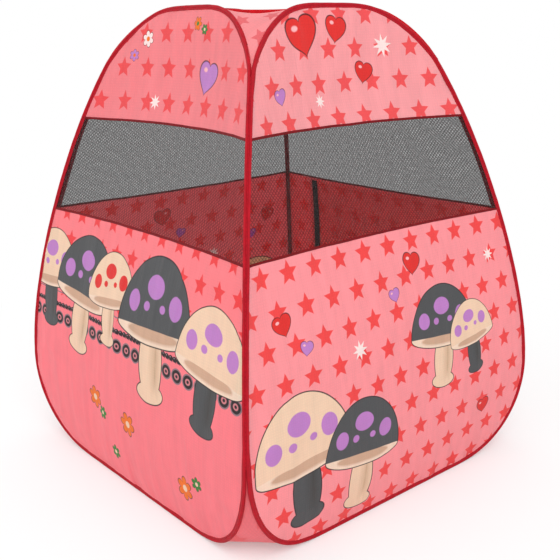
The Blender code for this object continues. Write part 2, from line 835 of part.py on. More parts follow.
def build_door(empties, collection):
    turn = turned("back")
    flap = add_object("door_flap", door_mesh(), "pink_cloth", collection)
    hook = add_object("door_hook_strip", strip_mesh("door_hook_strip", HOOK_PLACE), "black_strip", collection)
    loop = add_object("door_loop_strip", strip_mesh("door_loop_strip", LOOP_PLACE), "black_strip", collection)
    tie = add_object("door_tie_tape", tie_mesh(), "red_tape", collection)
    toggle = add_object("door_toggle", toggle_mesh(), "black_toggle", collection)
    for item in (flap, hook, loop, tie):
        item.matrix_world = turn
    thicken(flap, CLOTH)
    thicken(hook, STRIP_THICKNESS)
    thicken(loop, STRIP_THICKNESS)
    thicken(tie, STRIP_THICKNESS)
    lie_across = Matrix.Rotation(math.pi / 2, 4, "Y")
    toggle.matrix_world = turn @ Matrix.Translation(toggle_place()) @ lie_across
    for item in (flap, loop):
        hang_on(item, empties["door"])
    for item in (hook, tie, toggle):
        hang_on(item, empties["back"])


def build():
    clear_scene()
    collection = new_collection("kids_play_tent")
    empties = hinge_empties(collection)
    shared = shared_pieces()
    for wall in WALLS:
        build_wall(wall, shared, empties[wall], collection)
    build_sheets(empties["front"], collection)
    build_door(empties, collection)
    bpy.context.view_layer.update()


build()
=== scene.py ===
"""Kids pop-up play tent: its cloth, net, bindings and door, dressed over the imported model.

The four walls, the roof, the floor and the curtain door are sheets of printed polyester. Each wall is bound
by a crimson sleeve that holds a sprung wire hoop, and has a window of black net between two dark red hems.

Metres, +Z up. The front wall faces -Y, and the walls follow each other by quarter turns about +Z.
"""

import math
from functools import partial

import bmesh
import bpy
import numpy as np
from bpy.props import FloatProperty, FloatVectorProperty, IntProperty, PointerProperty
from mathutils import Matrix, Vector


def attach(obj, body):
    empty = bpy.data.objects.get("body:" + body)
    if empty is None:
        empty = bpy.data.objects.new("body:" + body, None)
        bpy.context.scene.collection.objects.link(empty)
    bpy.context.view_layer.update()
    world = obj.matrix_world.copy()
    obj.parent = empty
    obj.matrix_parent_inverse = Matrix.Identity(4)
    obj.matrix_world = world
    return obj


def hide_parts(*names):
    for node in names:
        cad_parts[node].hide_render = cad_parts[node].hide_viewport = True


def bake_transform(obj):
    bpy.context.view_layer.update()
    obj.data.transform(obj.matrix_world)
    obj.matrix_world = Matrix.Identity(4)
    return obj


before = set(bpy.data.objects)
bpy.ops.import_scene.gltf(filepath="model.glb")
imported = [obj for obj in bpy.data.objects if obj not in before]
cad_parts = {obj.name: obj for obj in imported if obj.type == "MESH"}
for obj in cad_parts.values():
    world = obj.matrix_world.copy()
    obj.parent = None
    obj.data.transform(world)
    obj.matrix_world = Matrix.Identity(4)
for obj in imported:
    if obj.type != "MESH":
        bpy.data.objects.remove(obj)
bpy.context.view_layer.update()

bl_info = {
    "name": "Kids Play Tent",
    "version": (1, 0, 0),
    "blender": (4, 5, 0),
    "location": "3D View > Sidebar > Play Tent",
    "description": "Dresses a square pop-up play tent with printed cloth, net windows and bound edges",
    "category": "Add Mesh",
}

WALLS = ("front", "right", "back", "left")

# Form of the tent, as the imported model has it
TENT_HEIGHT = 0.900
REACH_HEIGHT_SHARES = (0, 0.19, 0.50, 0.78, 1)
REACHES = (0.3518, 0.3723, 0.3358, 0.2658, 0.1758)
SEAM_FOOT_HEIGHT = 0.193
SEAM_HEAD_HEIGHT = 0.792
FOOT_STRAIGHT = 0.160
FOOT_ARC_POWERS = (1.94, 3.46)
CROWN_ARC_POWERS = (1.50, 4.00)
FOOT_WIRE_HEIGHT = 0.0027
CROWN_WIRE_HEIGHT = 0.8972
WIRE_CORNER_INSET = 0.00417
WALL_BOW = 0.0473
WALL_BOW_POWERS = (3.02, 1.5)
LOWER_HEM_HEIGHT = 0.5075
UPPER_HEM_HEIGHT = 0.6915
ROOF_SAG = 0.012
ROOF_HALF_SAG = 0.034
SHEET_INSET = 0.0022
SHEET_CORNER_INSET = 0.0030
SHEET_INSET_POWER = 9
FLOOR_FLAT_POWER = 8
FLOOR_HEIGHT = 0.0008

# Door, on the back wall's own plan: seen from outside, -x is the side of the right wall
DOORWAY_SEAM_MARGIN = 0.100
DOORWAY_SILL = 0.060
DOORWAY_TOP = 0.4985
DOORWAY_WIDTH = 0.53
DOORWAY_SIDE_WIDTH = 0.10
DOOR_LAP = 0.012
DOOR_HEAD_LAP = 0.004
DOOR_FOLDS = 5
STRIP_WIDTH = 0.020
STRIP_ROOT = 0.004
STRIP_THICKNESS = 0.0008
STRIP_END_SPACE = 0.006
HOOK_PLACE = 0.0012
LOOP_PLACE = 0.0025
FLAP_CLOSED_PLACE = 0.0037
FLAP_SEWN_PLACE = 0.0011
TIE_WIDTH = 0.012
TIE_TOP_HEIGHT = 0.360
TIE_LENGTH = 0.075
TIE_OFFSET = 0.050
TIE_THICKNESS = 0.0009
FLAP_THICKNESS = 0.0005
TOGGLE_SPACE = 0.0008
TOGGLE_RADIUS = 0.005
TOGGLE_LENGTH = 0.026

# Visible sleeve in section: a tube round the wire and two stitched lips over the cloth
SLEEVE_RADIUS = 0.0029
LIP_REACH = 0.0062
LIP_HALF_THICKNESS = 0.0011
CLOTH_EDGE_REACH = 0.0016
TIGHT_RADIUS = 0.0023
TIGHT_SHIFT = 0.00056
TIGHT_LIP_REACH = 0.0029
TIGHT_EASE = 0.045
HEM_HALF_WIDTH = 0.0023
HEM_HALF_THICKNESS = 0.0010
HEM_END_SPACE = 0.0008
BINDING_HEIGHT = 0.0090
BINDING_ROOT = 0.0015
BINDING_HALF_THICKNESS = 0.0010
SEAM_END_SPACE = 0.007
TAPE_RIB = 0.0022
TWILL_RIB = 0.0018
STITCH_LENGTH = 0.0036
HEM_STITCH_LENGTH = 0.0034

# Distance round a tape's section to its line of stitches, and on a sleeve from the tube or the lip's end
SLEEVE_STITCHES = 0.0018
HEM_STITCHES = 0.0055
COVER_STITCHES = 0.0019
ROOF_STITCHES = 0.0075

# Below this height the front's lower cloth is printed plain, without stars
PLAIN_TOP = 0.335

# First seed of each run of noise
SLEEVE_SEED = 300
HEM_SEED = 400
FRILL_SEED = 450
ROOF_SEED = 500
FLOOR_SEED = 540
FLAP_SEED = 601

# Seam allowance inside a corner in section, as (towards the next wall, into the tent)
SEAM_SECTION = (
    (-0.0038, 0.0030), (-0.0038, 0.0038), (-0.0008, 0.0040), (-0.0008, 0.0126), (0.0000, 0.0130),
    (0.0008, 0.0126), (0.0008, 0.0040), (0.0038, 0.0038), (0.0038, 0.0030),
)

# Cover over the groove between two sleeves that are sewn together, in the same way
COVER_SECTION = (
    (-0.0016, -0.0012), (-0.0009, -0.0019), (0.0000, -0.0022),
    (0.0009, -0.0019), (0.0016, -0.0012), (0.0000, -0.0004),
)

# Corner seams: name, the wall that it follows, the walls that meet there, the way that they fold
CORNERS = (
    ("near", "front", ("front", "right"), 1),
    ("right", "right", ("right",), 1),
    ("far", "back", ("left", "back"), -1),
    ("left", "left", ("front", "left"), -1),
)

# Halves of the roof and of the floor: name, side of the diagonal, the walls that carry the half
HALVES = (("near", 1, ("front", "right")), ("far", -1, ("left", "back")))

REACH_CURVE = np.polyfit(REACH_HEIGHT_SHARES, REACHES, len(REACHES) - 1)


def linear(hex_colour):
    """A colour written as sRGB hex, as linear light with full cover."""
    shares = [value / 255 for value in bytes.fromhex(hex_colour)]
    return (*(c / 12.92 if c <= 0.04045 else ((c + 0.055) / 1.055) ** 2.4 for c in shares), 1)


def unit(vectors):
    return vectors / np.linalg.norm(vectors, axis=-1, keepdims=True)


# Form of a wall


def curved_reach(z):
    return np.polyval(REACH_CURVE, np.asarray(z) / TENT_HEIGHT)


def half_width(z):
    """Half the width of a hoop, at its wire, at height z."""
    z = np.asarray(z, float)
    full = curved_reach(z) - WIRE_CORNER_INSET
    drop = np.clip((SEAM_FOOT_HEIGHT - z) / (SEAM_FOOT_HEIGHT - FOOT_WIRE_HEIGHT), 0, 1)
    climb = np.clip((z - SEAM_HEAD_HEIGHT) / (CROWN_WIRE_HEIGHT - SEAM_HEAD_HEIGHT), 0, 1)
    foot, crown = (
        (1 - share ** powers[0]) ** (1 / powers[1])
        for share, powers in ((drop, FOOT_ARC_POWERS), (climb, CROWN_ARC_POWERS))
    )
    foot, crown = FOOT_STRAIGHT + (full - FOOT_STRAIGHT) * foot, full * crown
    return np.where(z < SEAM_FOOT_HEIGHT, foot, np.where(z > SEAM_HEAD_HEIGHT, crown, full))


def wall_depth(x, z):
    """How far out the cloth of a wall stands, drawn in at its middle, at x along it and height z."""
    rise, power = WALL_BOW_POWERS
    share = np.clip(np.asarray(z, float) / CROWN_WIRE_HEIGHT, 0, 1)
    drawn_in = WALL_BOW * np.abs(np.sin(math.pi * share**rise)) ** power
    width = np.maximum(half_width(z), np.abs(x) + 1e-6)
    return curved_reach(z) - drawn_in * (1 - (x / width) ** 2)


def on_wall(x, z, outward=0):
    """Points of the front wall, moved outward from the cloth by a small distance."""
    x, z = np.broadcast_arrays(np.asarray(x, float), np.asarray(z, float))
    step = 1e-4
    across = (wall_depth(x + step, z) - wall_depth(x - step, z)) / (2 * step)
    upward = (wall_depth(x, z + step) - wall_depth(x, z - step)) / (2 * step)
    normal = unit(np.stack([-across, -np.ones_like(x), -upward], -1))
    return np.stack([x, -wall_depth(x, z), z], -1) + normal * np.asarray(outward)[..., None]


def turned(points, wall):
    """Points of the front wall, turned to another wall."""
    x, y = points[..., 0], points[..., 1]
    for _ in range(WALLS.index(wall)):
        x, y = -y, x
    return np.stack([x, y, points[..., 2]], -1)


def half_outline():
    """(x, z) of the wire from the middle of the foot up the right side to the crown, closely spaced."""
    quarter = np.linspace(0, math.pi / 2, 240)
    foot_rise, crown_rise = SEAM_FOOT_HEIGHT - FOOT_WIRE_HEIGHT, CROWN_WIRE_HEIGHT - SEAM_HEAD_HEIGHT
    foot = SEAM_FOOT_HEIGHT - foot_rise * np.cos(quarter) ** (2 / FOOT_ARC_POWERS[0])
    side = np.linspace(SEAM_FOOT_HEIGHT, SEAM_HEAD_HEIGHT, 240)[1:-1]
    crown = SEAM_HEAD_HEIGHT + crown_rise * np.sin(quarter) ** (2 / CROWN_ARC_POWERS[0])
    z = np.concatenate([foot, side, crown])
    return np.concatenate([[0], half_width(z)]), np.concatenate([[FOOT_WIRE_HEIGHT], z])


OUTLINE_X, OUTLINE_Z = half_outline()


def run_length(points):
    return np.concatenate([[0], np.cumsum(np.linalg.norm(np.diff(points, axis=0), axis=1))])


def even_outline(spacing):
    """(x, z, length) all round the hoop, evenly spaced from the middle of the foot and first to the right."""
    x = np.concatenate([OUTLINE_X, -OUTLINE_X[-2:0:-1], [0]])
    z = np.concatenate([OUTLINE_Z, OUTLINE_Z[-2:0:-1], [FOOT_WIRE_HEIGHT]])
    length = run_length(np.stack([x, -curved_reach(z), z], -1))
    places = np.linspace(0, length[-1], round(length[-1] / spacing) + 1)
    return np.interp(places, length, x)[:-1], np.interp(places, length, z)[:-1], places[:-1]


def cloth_edge(reach_in):
    """(half width, height) of a line that runs inside the wire by a small distance, from foot to crown."""
    run_x, run_z = np.gradient(OUTLINE_X), np.gradient(OUTLINE_Z)
    size = np.hypot(run_x, run_z)
    x = OUTLINE_X - run_z / size * reach_in
    z = OUTLINE_Z + run_x / size * reach_in
    keep = np.concatenate([[False], np.diff(z) > 1e-7])
    x, z = x[keep], z[keep]
    x[-1] = 0
    return x, z


EDGE_X, EDGE_Z = cloth_edge(CLOTH_EDGE_REACH)
CLOTH_FOOT = float(EDGE_Z[0])
CLOTH_CROWN = float(EDGE_Z[-1])


def edge_half_width(z):
    return np.interp(z, EDGE_Z, EDGE_X)


def row_heights(low, high, spacing):
    """Heights of a cloth's rows, evenly spaced along its edge."""
    inside = (EDGE_Z > low) & (EDGE_Z < high)
    z = np.concatenate([[low], EDGE_Z[inside], [high]])
    length = run_length(np.stack([edge_half_width(z), z], -1))
    return np.interp(np.linspace(0, length[-1], max(round(length[-1] / spacing), 2) + 1), length, z)


# Creases and puckers


def ease(value):
    value = np.clip(value, 0, 1)
    return value * value * (3 - 2 * value)


def soft_noise(x, y, cell, seed):
    """Smooth noise between -1 and 1 with features about one cell wide."""
    size = 64
    lattice = np.random.default_rng(seed).uniform(-1, 1, (size, size))
    px, py = np.broadcast_arrays(np.asarray(x, float) / cell + size, np.asarray(y, float) / cell + size)
    i, j = np.floor(px).astype(int), np.floor(py).astype(int)
    u, v = (part * part * part * (part * (part * 6 - 15) + 10) for part in (px - i, py - j))
    low = lattice[i % size, j % size] * (1 - u) + lattice[(i + 1) % size, j % size] * u
    high = lattice[i % size, (j + 1) % size] * (1 - u) + lattice[(i + 1) % size, (j + 1) % size] * u
    return low * (1 - v) + high * v


def edge_field(x, z):
    """(distance from the wire, place along it) of points on a wall's plan."""
    line_x, line_z, along = even_outline(0.008)
    flat_x, flat_z = np.ravel(x), np.ravel(z)
    nearest, away = np.empty(flat_x.size, int), np.empty(flat_x.size)
    for start in range(0, flat_x.size, 4096):
        part = slice(start, start + 4096)
        gaps = np.hypot(flat_x[part, None] - line_x, flat_z[part, None] - line_z)
        nearest[part], away[part] = gaps.argmin(1), gaps.min(1)
    return away.reshape(np.shape(x)), along[nearest].reshape(np.shape(x))


# Puckers that run away from a seam or a hem: depth, share of the way out in the noise, cell, fading length
EDGE_PUCKERS = ((0.0014, 0.25, 0.019, 0.030), (0.0021, 0.15, 0.045, 0.075))
HEM_PUCKERS = ((0.0012, 0.20, 0.017, 0.030), (0.0017, 0.15, 0.040, 0.070))


def creases(x, z, wall, depth):
    """How far a wall's cloth stands off its plain form: soft folds, and puckers along seams and hems."""
    seed = 40 * (WALLS.index(wall) + 1)
    away, along = edge_field(x, z)
    hem_gap = np.minimum(np.abs(z - LOWER_HEM_HEIGHT), np.abs(z - UPPER_HEM_HEIGHT))
    free = ease(np.minimum(away - 0.006, hem_gap) / 0.035)
    folds = 0.0026 * soft_noise(x, z + 0.35 * x, 0.150, seed)
    folds = folds + 0.0012 * soft_noise(x * 1.6, z, 0.062, seed + 1)
    sharp = 0.0014 * (1 - 2 * np.abs(soft_noise(x * 1.4, z * 0.6, 0.085, seed + 2)) ** 0.6)
    held = ease((away - 0.004) / 0.006) * ease((hem_gap - 0.001) / 0.006)
    puckers, number = 0, 3
    for line, gap, rows in ((along, away, EDGE_PUCKERS), (x, hem_gap, HEM_PUCKERS)):
        for height, share, cell, fade in rows:
            pucker = height * soft_noise(line, gap * share, cell, seed + number)
            puckers = puckers + pucker * np.exp(-gap / fade)
            number += 1
    return depth * (free * (folds + sharp) + held * puckers)


# Mesh tools


def grid_mesh(name, points, plan, skip=None, wrap=False):
    """A skin over a grid of points, with a UV map in metres. Cells marked in skip are left open."""
    rows, columns = points.shape[:2]
    numbers = np.arange(rows * columns).reshape(rows, columns)
    if wrap:
        numbers = np.concatenate([numbers, numbers[:1]])
    cells, plan_cells = (
        np.stack([grid[:-1, :-1], grid[:-1, 1:], grid[1:, 1:], grid[1:, :-1]], 2) for grid in (numbers, plan)
    )
    if skip is not None:
        cells, plan_cells = cells[~skip], plan_cells[~skip]
    mesh = bpy.data.meshes.new(name)
    mesh.from_pydata(points.reshape(-1, 3).tolist(), [], cells.reshape(-1, 4).tolist())
    mesh.uv_layers.new(name="Plan").data.foreach_set("uv", plan_cells.reshape(-1).astype(np.float32))
    mesh.shade_smooth()
    return mesh


def clean_mesh(mesh):
    """Drops loose points and faces that have shrunk to a line."""
    work = bmesh.new()
    work.from_mesh(mesh)
    bmesh.ops.dissolve_degenerate(work, dist=1e-6, edges=work.edges)
    bmesh.ops.delete(work, geom=[vertex for vertex in work.verts if not vertex.link_faces], context="VERTS")
    work.to_mesh(mesh)
    work.free()


def close_mesh(mesh, merge, fill):
    """Merges points that meet, closes open ends where asked to, and turns all faces outward."""
    work = bmesh.new()
    work.from_mesh(mesh)
    bmesh.ops.remove_doubles(work, verts=work.verts, dist=merge)
    if fill:
        bmesh.ops.holes_fill(work, edges=[edge for edge in work.edges if edge.is_boundary])
    bmesh.ops.recalc_face_normals(work, faces=work.faces)
    work.to_mesh(mesh)
    work.free()
    mesh.shade_smooth()


def loft_mesh(name, wall, middles, across, outward, profile, along, closed=False):
    """A skin over a section carried along a line, or a section for each ring, turned to its wall."""
    section = np.concatenate([profile, np.asarray(profile)[..., :1, :]], -2)
    points = middles[:, None] + across[:, None] * section[..., :1] + outward[:, None] * section[..., 1:]
    around = run_length(section if section.ndim == 2 else section[0])
    lengths = np.append(along, 2 * along[-1] - along[-2]) if closed else along
    plan = np.stack(np.broadcast_arrays(lengths[:, None], around[None, :]), -1)
    mesh = grid_mesh(name, points, plan, wrap=closed)
    close_mesh(mesh, 1e-6, not closed)
    places = np.empty(len(mesh.vertices) * 3, np.float32)
    mesh.vertices.foreach_get("co", places)
    mesh.vertices.foreach_set("co", turned(places.reshape(-1, 3), wall).reshape(-1))
    return mesh


def add_piece(name, mesh, material, body=None, replaces=(), thickness=0):
    """Puts a piece in the scene, on its body, in place of the plain solids that it stands for."""
    piece = bpy.data.objects.new(name, mesh)
    mesh.materials.append(material)
    bpy.context.scene.collection.objects.link(piece)
    if thickness:
        solidify = piece.modifiers.new("thickness", "SOLIDIFY")
        solidify.thickness = thickness
        solidify.offset = 0
    if body:
        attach(piece, body)
    if replaces:
        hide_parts(*replaces)
    return piece


# Nodes


def add_node(tree, kind, *inputs, out=0, **settings):
    """Adds a shader node and gives one of its outputs, or the node itself where out is None.

    Inputs go in order, or as one dictionary by socket. Each is a value or another node's output.
    """
    node = tree.nodes.new("ShaderNode" + kind)
    for key, value in settings.items():
        setattr(node, key, value)
    by_socket = inputs[0] if inputs and isinstance(inputs[0], dict) else dict(enumerate(inputs))
    for key, value in by_socket.items():
        if isinstance(value, bpy.types.NodeSocket):
            tree.links.new(value, node.inputs[key])
        else:
            node.inputs[key].default_value = value
    return node if out is None else node.outputs[out]


def new_material(name):
    """An empty node material, with what adds nodes to it: (material, add)."""
    material = bpy.data.materials.new(name)
    material.use_nodes = True
    material.node_tree.nodes.clear()
    return material, partial(add_node, material.node_tree)


def new_print(name, inks=(), outputs=(("Colour", "Color"), ("Cover", "Float")), **more):
    """An empty node group for a printed motif: (tree, add, inputs, outputs)."""
    tree = bpy.data.node_groups.new(name, "ShaderNodeTree")
    inputs = (("Place", "Vector"), *((ink, "Color") for ink in inks), *more.items())
    for way, sockets in (("INPUT", inputs), ("OUTPUT", outputs)):
        for title, kind in sockets:
            tree.interface.new_socket(title, in_out=way, socket_type="NodeSocket" + kind)
    ends, out = tree.nodes.new("NodeGroupInput"), tree.nodes.new("NodeGroupOutput")
    return tree, partial(add_node, tree), ends.outputs, out.inputs


def edge_of(distance, grow=0.0, soft=0.0005):
    """What turns a distance from a shape's edge into 1 inside it and 0 outside, for a Map Range node."""
    return {"Value": distance, "From Min": grow + soft, "From Max": grow - soft}


def lay(add, ground, ink, distance, grow=0.0, soft=0.0005):
    """Lays an ink over the ground inside a shape, with a soft edge."""
    share = add("MapRange", edge_of(distance, grow, soft))
    return add("Mix", {0: share, 6: ground, 7: ink}, out=2, data_type="RGBA")


def ellipse(add, place, centre, radii):
    """Distance from an ellipse's edge, below zero inside it."""
    moved = add("VectorMath", place, (*centre, 0), operation="SUBTRACT")
    once = add("VectorMath", moved, (*radii, 1), operation="DIVIDE")
    twice = add("VectorMath", once, (*radii, 1), operation="DIVIDE")
    size, slope = (add("VectorMath", part, out="Value", operation="LENGTH") for part in (once, twice))
    away = add("Math", size, 1.0, operation="SUBTRACT")
    return add("Math", away, add("Math", size, slope, operation="DIVIDE"), operation="MULTIPLY")


def pointed_star(add, side, up, radius, points, notch_share):
    """Distance from the edge of a star round the origin with one tip straight up, below zero inside it."""
    size = add("VectorMath", add("CombineXYZ", side, up), out="Value", operation="LENGTH")
    turn = add("Math", side, up, operation="ARCTAN2")
    half_sector = math.pi / points
    fold = add("Math", turn, half_sector, operation="PINGPONG")
    # One edge of the star, from a tip to the notch beside it
    notch = notch_share * math.sin(half_sector), notch_share * math.cos(half_sector)
    normal = Vector((notch[0], 1 - notch[1])).normalized()
    part = add("Math", add("Math", fold, operation="COSINE"), normal.x, operation="MULTIPLY")
    edge = add("Math", add("Math", fold, operation="SINE"), normal.y, part, operation="MULTIPLY_ADD")
    edge = add("Math", edge, size, operation="MULTIPLY")
    return add("Math", edge, add("Math", radius, normal.x, operation="MULTIPLY"), operation="SUBTRACT")


def joined(add, distances, way="MINIMUM"):
    """The distance from several shapes taken together, or with MAXIMUM from what they share."""
    whole = distances[0]
    for distance in distances[1:]:
        whole = add("Math", whole, distance, operation=way)
    return whole


def repeated(add, way, period):
    """A place along one axis that starts again each period, from minus to plus half of it, and its count."""
    count = add("Math", way, period, operation="DIVIDE")
    whole = add("Math", count, operation="ROUND")
    part = add("Math", count, whole, operation="SUBTRACT")
    return add("Math", part, period, operation="MULTIPLY"), whole


def star_rows_print():
    """Five-pointed stars in rows, with one tip up. Each row is shifted along by the lean."""
    tree, add, ends, out = new_print(
        "Star rows", (), (("Inside", "Float"),), First="Vector", Step="Vector", Lean="Float", Radius="Float"
    )
    moved = add("VectorMath", ends["Place"], ends["First"], operation="SUBTRACT")
    steps = add("SeparateXYZ", ends["Step"], out=None).outputs
    way = add("SeparateXYZ", moved, out=None).outputs
    up, row = repeated(add, way[1], steps[1])
    shift = add("Math", row, ends["Lean"], operation="MULTIPLY")
    side = repeated(add, add("Math", way[0], shift, operation="SUBTRACT"), steps[0])[0]
    away = pointed_star(add, side, up, ends["Radius"], 5, 0.47)
    tree.links.new(add("MapRange", edge_of(away)), out[0])
    return tree


def toadstool_print():
    """A toadstool one unit tall that stands on the origin: cap, gills, stem and spots inside a dark line."""
    tree, add, ends, out = new_print("Toadstool print", ("Cap", "Stem", "Spot"))
    place, cap_ink, stem_ink, spot_ink = (ends[index] for index in range(4))
    oval = partial(ellipse, add, place)
    line = linear("2B2226")
    above = add("Math", 0.50, add("SeparateXYZ", place, out=1), operation="SUBTRACT")
    cap = joined(add, [oval((0, 0.50), (0.43, 0.48)), above], "MAXIMUM")
    rim, gills = oval((0, 0.50), (0.43, 0.105)), oval((0, 0.475), (0.30, 0.050))
    stem = joined(add, [oval((0, 0.29), (0.130, 0.29)), oval((0, 0.075), (0.150, 0.075))])
    spots = [
        oval((-0.02, 0.78), (0.105, 0.080)),
        oval((-0.26, 0.66), (0.070, 0.075)),
        oval((0.24, 0.68), (0.075, 0.080)),
        oval((-0.10, 0.645), (0.036, 0.032)),
        oval((0.09, 0.650), (0.032, 0.028)),
    ]
    shade = add("MapRange", edge_of(oval((0.055, 0.28), (0.030, 0.150)), 0, 0.05))
    colour = lay(add, line, stem_ink, stem, -0.004, 0.002)
    colour = add(
        "Mix", {0: shade, 6: colour, 7: (0.74, 0.66, 0.60, 1)}, out=2, data_type="RGBA", blend_type="MULTIPLY"
    )
    for ink, shape, grow, soft in (
        (line, joined(add, [cap, rim]), 0.004, 0.002),
        (linear("F8E8D0"), rim, -0.004, 0.002),
        (linear("D9B79A"), gills, 0, 0.012),
        (cap_ink, cap, -0.004, 0.002),
        (spot_ink, joined(add, spots), 0, 0.003),
    ):
        colour = lay(add, colour, ink, shape, grow, soft)
    tree.links.new(colour, out[0])
    tree.links.new(add("MapRange", edge_of(joined(add, [cap, rim, stem]), 0.004, 0.002)), out[1])
    return tree


def heart_print():
    """A heart about two units wide round the origin, with a dark line and a pale gleam."""
    tree, add, ends, out = new_print("Heart print", ("Fill",))
    way = add("SeparateXYZ", ends[0], out=None).outputs
    lobe = add("Math", add("Math", way[0], operation="ABSOLUTE"), 0.5, operation="POWER")
    lobe = add("Math", lobe, -0.68, operation="MULTIPLY")
    tall = add("Math", way[1], 1.25, lobe, operation="MULTIPLY_ADD")
    size = add("VectorMath", add("CombineXYZ", way[0], tall), out="Value", operation="LENGTH")
    away = add("Math", size, 1.0, operation="SUBTRACT")
    colour = lay(add, linear("3A1216"), ends[1], away, 0, 0.03)
    colour = lay(add, colour, linear("FFC9CC"), ellipse(add, ends[0], (-0.42, 0.62), (0.20, 0.13)), 0, 0.04)
    tree.links.new(colour, out[0])
    tree.links.new(add("MapRange", edge_of(away, 0.07, 0.03)), out[1])
    return tree


def flower_print():
    """A flower about two units wide round the origin: petals round a centre."""
    tree, add, ends, out = new_print("Flower print", ("Petal", "Centre"))
    way = add("SeparateXYZ", ends[0], out=None).outputs
    size = add("VectorMath", ends[0], out="Value", operation="LENGTH")
    wave = add("Math", way[0], way[1], operation="ARCTAN2")
    for operation, *operand in (("MULTIPLY", 3.0), ("COSINE",), ("ABSOLUTE",), ("POWER", 0.6)):
        wave = add("Math", wave, *operand, operation=operation)
    limit = add("Math", wave, 0.52, 0.46, operation="MULTIPLY_ADD")
    away = add("Math", size, limit, operation="SUBTRACT")
    colour = lay(add, linear("7A3B32"), ends[1], away, 0, 0.03)
    colour = lay(add, colour, ends[2], ellipse(add, ends[0], (0, 0), (0.30, 0.30)), 0, 0.03)
    tree.links.new(colour, out[0])
    tree.links.new(add("MapRange", edge_of(away, 0.08, 0.03)), out[1])
    return tree


def sparkle_print():
    """A white eight-rayed sparkle, about two units wide round the origin."""
    tree, add, ends, out = new_print("Sparkle print", ("Ray",))
    way = add("SeparateXYZ", ends[0], out=None).outputs
    tree.links.new(ends[1], out[0])
    tree.links.new(add("MapRange", edge_of(pointed_star(add, way[0], way[1], 1.0, 8, 0.44), 0, 0.02)), out[1])
    return tree


def lace_print():
    """A lace edging along the wall: a thread, a braid of beads, and a row of rings."""
    tree, add, ends, out = new_print("Lace print")
    way = add("SeparateXYZ", ends[0], out=None).outputs
    sides = (repeated(add, way[0], period)[0] for period in (0.0120, 0.0330))
    bead_oval, ring_oval = (partial(ellipse, add, add("CombineXYZ", side, way[1])) for side in sides)
    beads = [bead_oval((0, 0), (0.0064, 0.0050)), bead_oval((0.006, -0.0015), (0.0040, 0.0044))]
    gleam = bead_oval((-0.0015, 0.0016), (0.0016, 0.0010))
    thread = ring_oval((0, 0.0250), (0.9, 0.0011))
    halo, ring, hole, eye = (
        ring_oval((0, -0.0270), radii)
        for radii in ((0.0158, 0.0138), (0.0130, 0.0112), (0.0072, 0.0058), (0.0034, 0.0028))
    )
    dark, colour = linear("2A1C20"), linear("9A7F86")
    for ink, shape in (
        (dark, joined(add, [*beads, ring])), (linear("D98A90"), hole), (dark, eye), (linear("B79AA0"), gleam)
    ):
        colour = lay(add, colour, ink, shape)
    tree.links.new(colour, out[0])
    tree.links.new(add("MapRange", edge_of(joined(add, [*beads, thread, halo]))), out[1])
    return tree


PRINTS = {
    "stars": star_rows_print(),
    "toadstool": toadstool_print(),
    "heart": heart_print(),
    "flower": flower_print(),
    "sparkle": sparkle_print(),
    "lace": lace_print(),
}

# Inks of the print
DARK_GREY = "57585A"
CREAM = "F6DFC0"
LILAC = "C98BD6"
RED = "E8302C"
WHITE = "FFF6F2"
ORANGE = "F57E12"
GREEN = "3F8F3A"

# Motifs on each wall: kind, (x, z) on the wall's plan, size, turn in degrees, inks
TOADSTOOL_DARK = (DARK_GREY, CREAM, LILAC)
TOADSTOOL_CREAM = (CREAM, DARK_GREY, LILAC)
TOADSTOOL_PALE = (CREAM, CREAM, RED)
FRONT_LOWER_MOTIFS = (
    ("lace", (0.010, 0.320), 1, 0, ()),
    ("toadstool", (-0.290, 0.268), 0.205, 4, TOADSTOOL_CREAM),
    ("toadstool", (-0.180, 0.238), 0.240, -5, TOADSTOOL_DARK),
    ("toadstool", (-0.060, 0.282), 0.180, 6, TOADSTOOL_PALE),
    ("toadstool", (0.095, 0.218), 0.265, 3, TOADSTOOL_DARK),
    ("toadstool", (0.250, 0.212), 0.225, -6, TOADSTOOL_CREAM),
    ("flower", (-0.110, 0.165), 0.022, 10, (ORANGE, CREAM)),
    ("flower", (-0.080, 0.142), 0.013, 35, (GREEN, CREAM)),
    ("flower", (0.015, 0.150), 0.023, 20, (ORANGE, CREAM)),
    ("flower", (0.195, 0.092), 0.022, 5, (ORANGE, CREAM)),
    ("flower", (0.232, 0.115), 0.013, 5, (GREEN, CREAM)),
    ("flower", (-0.045, 0.070), 0.014, 5, (GREEN, CREAM)),
)
FRONT_UPPER_MOTIFS = (
    ("heart", (0.075, 0.770), 0.030, -8, (LILAC,)),
    ("flower", (-0.118, 0.842), 0.015, 12, (WHITE, ORANGE)),
    ("flower", (-0.152, 0.812), 0.011, 0, (LILAC, ORANGE)),
    ("flower", (0.030, 0.868), 0.012, 25, (ORANGE, GREEN)),
    ("flower", (0.052, 0.858), 0.009, 25, (GREEN, CREAM)),
    ("sparkle", (-0.080, 0.728), 0.014, 10, (WHITE,)),
)
RIGHT_UPPER_MOTIFS = (
    ("heart", (-0.085, 0.838), 0.036, 12, (RED,)),
    ("heart", (-0.005, 0.850), 0.024, -10, (RED,)),
    ("heart", (0.055, 0.775), 0.020, -12, (RED,)),
    ("heart", (-0.165, 0.745), 0.014, 10, (LILAC,)),
    ("sparkle", (0.105, 0.825), 0.021, 8, (WHITE,)),
    ("sparkle", (-0.060, 0.735), 0.012, 0, (WHITE,)),
)
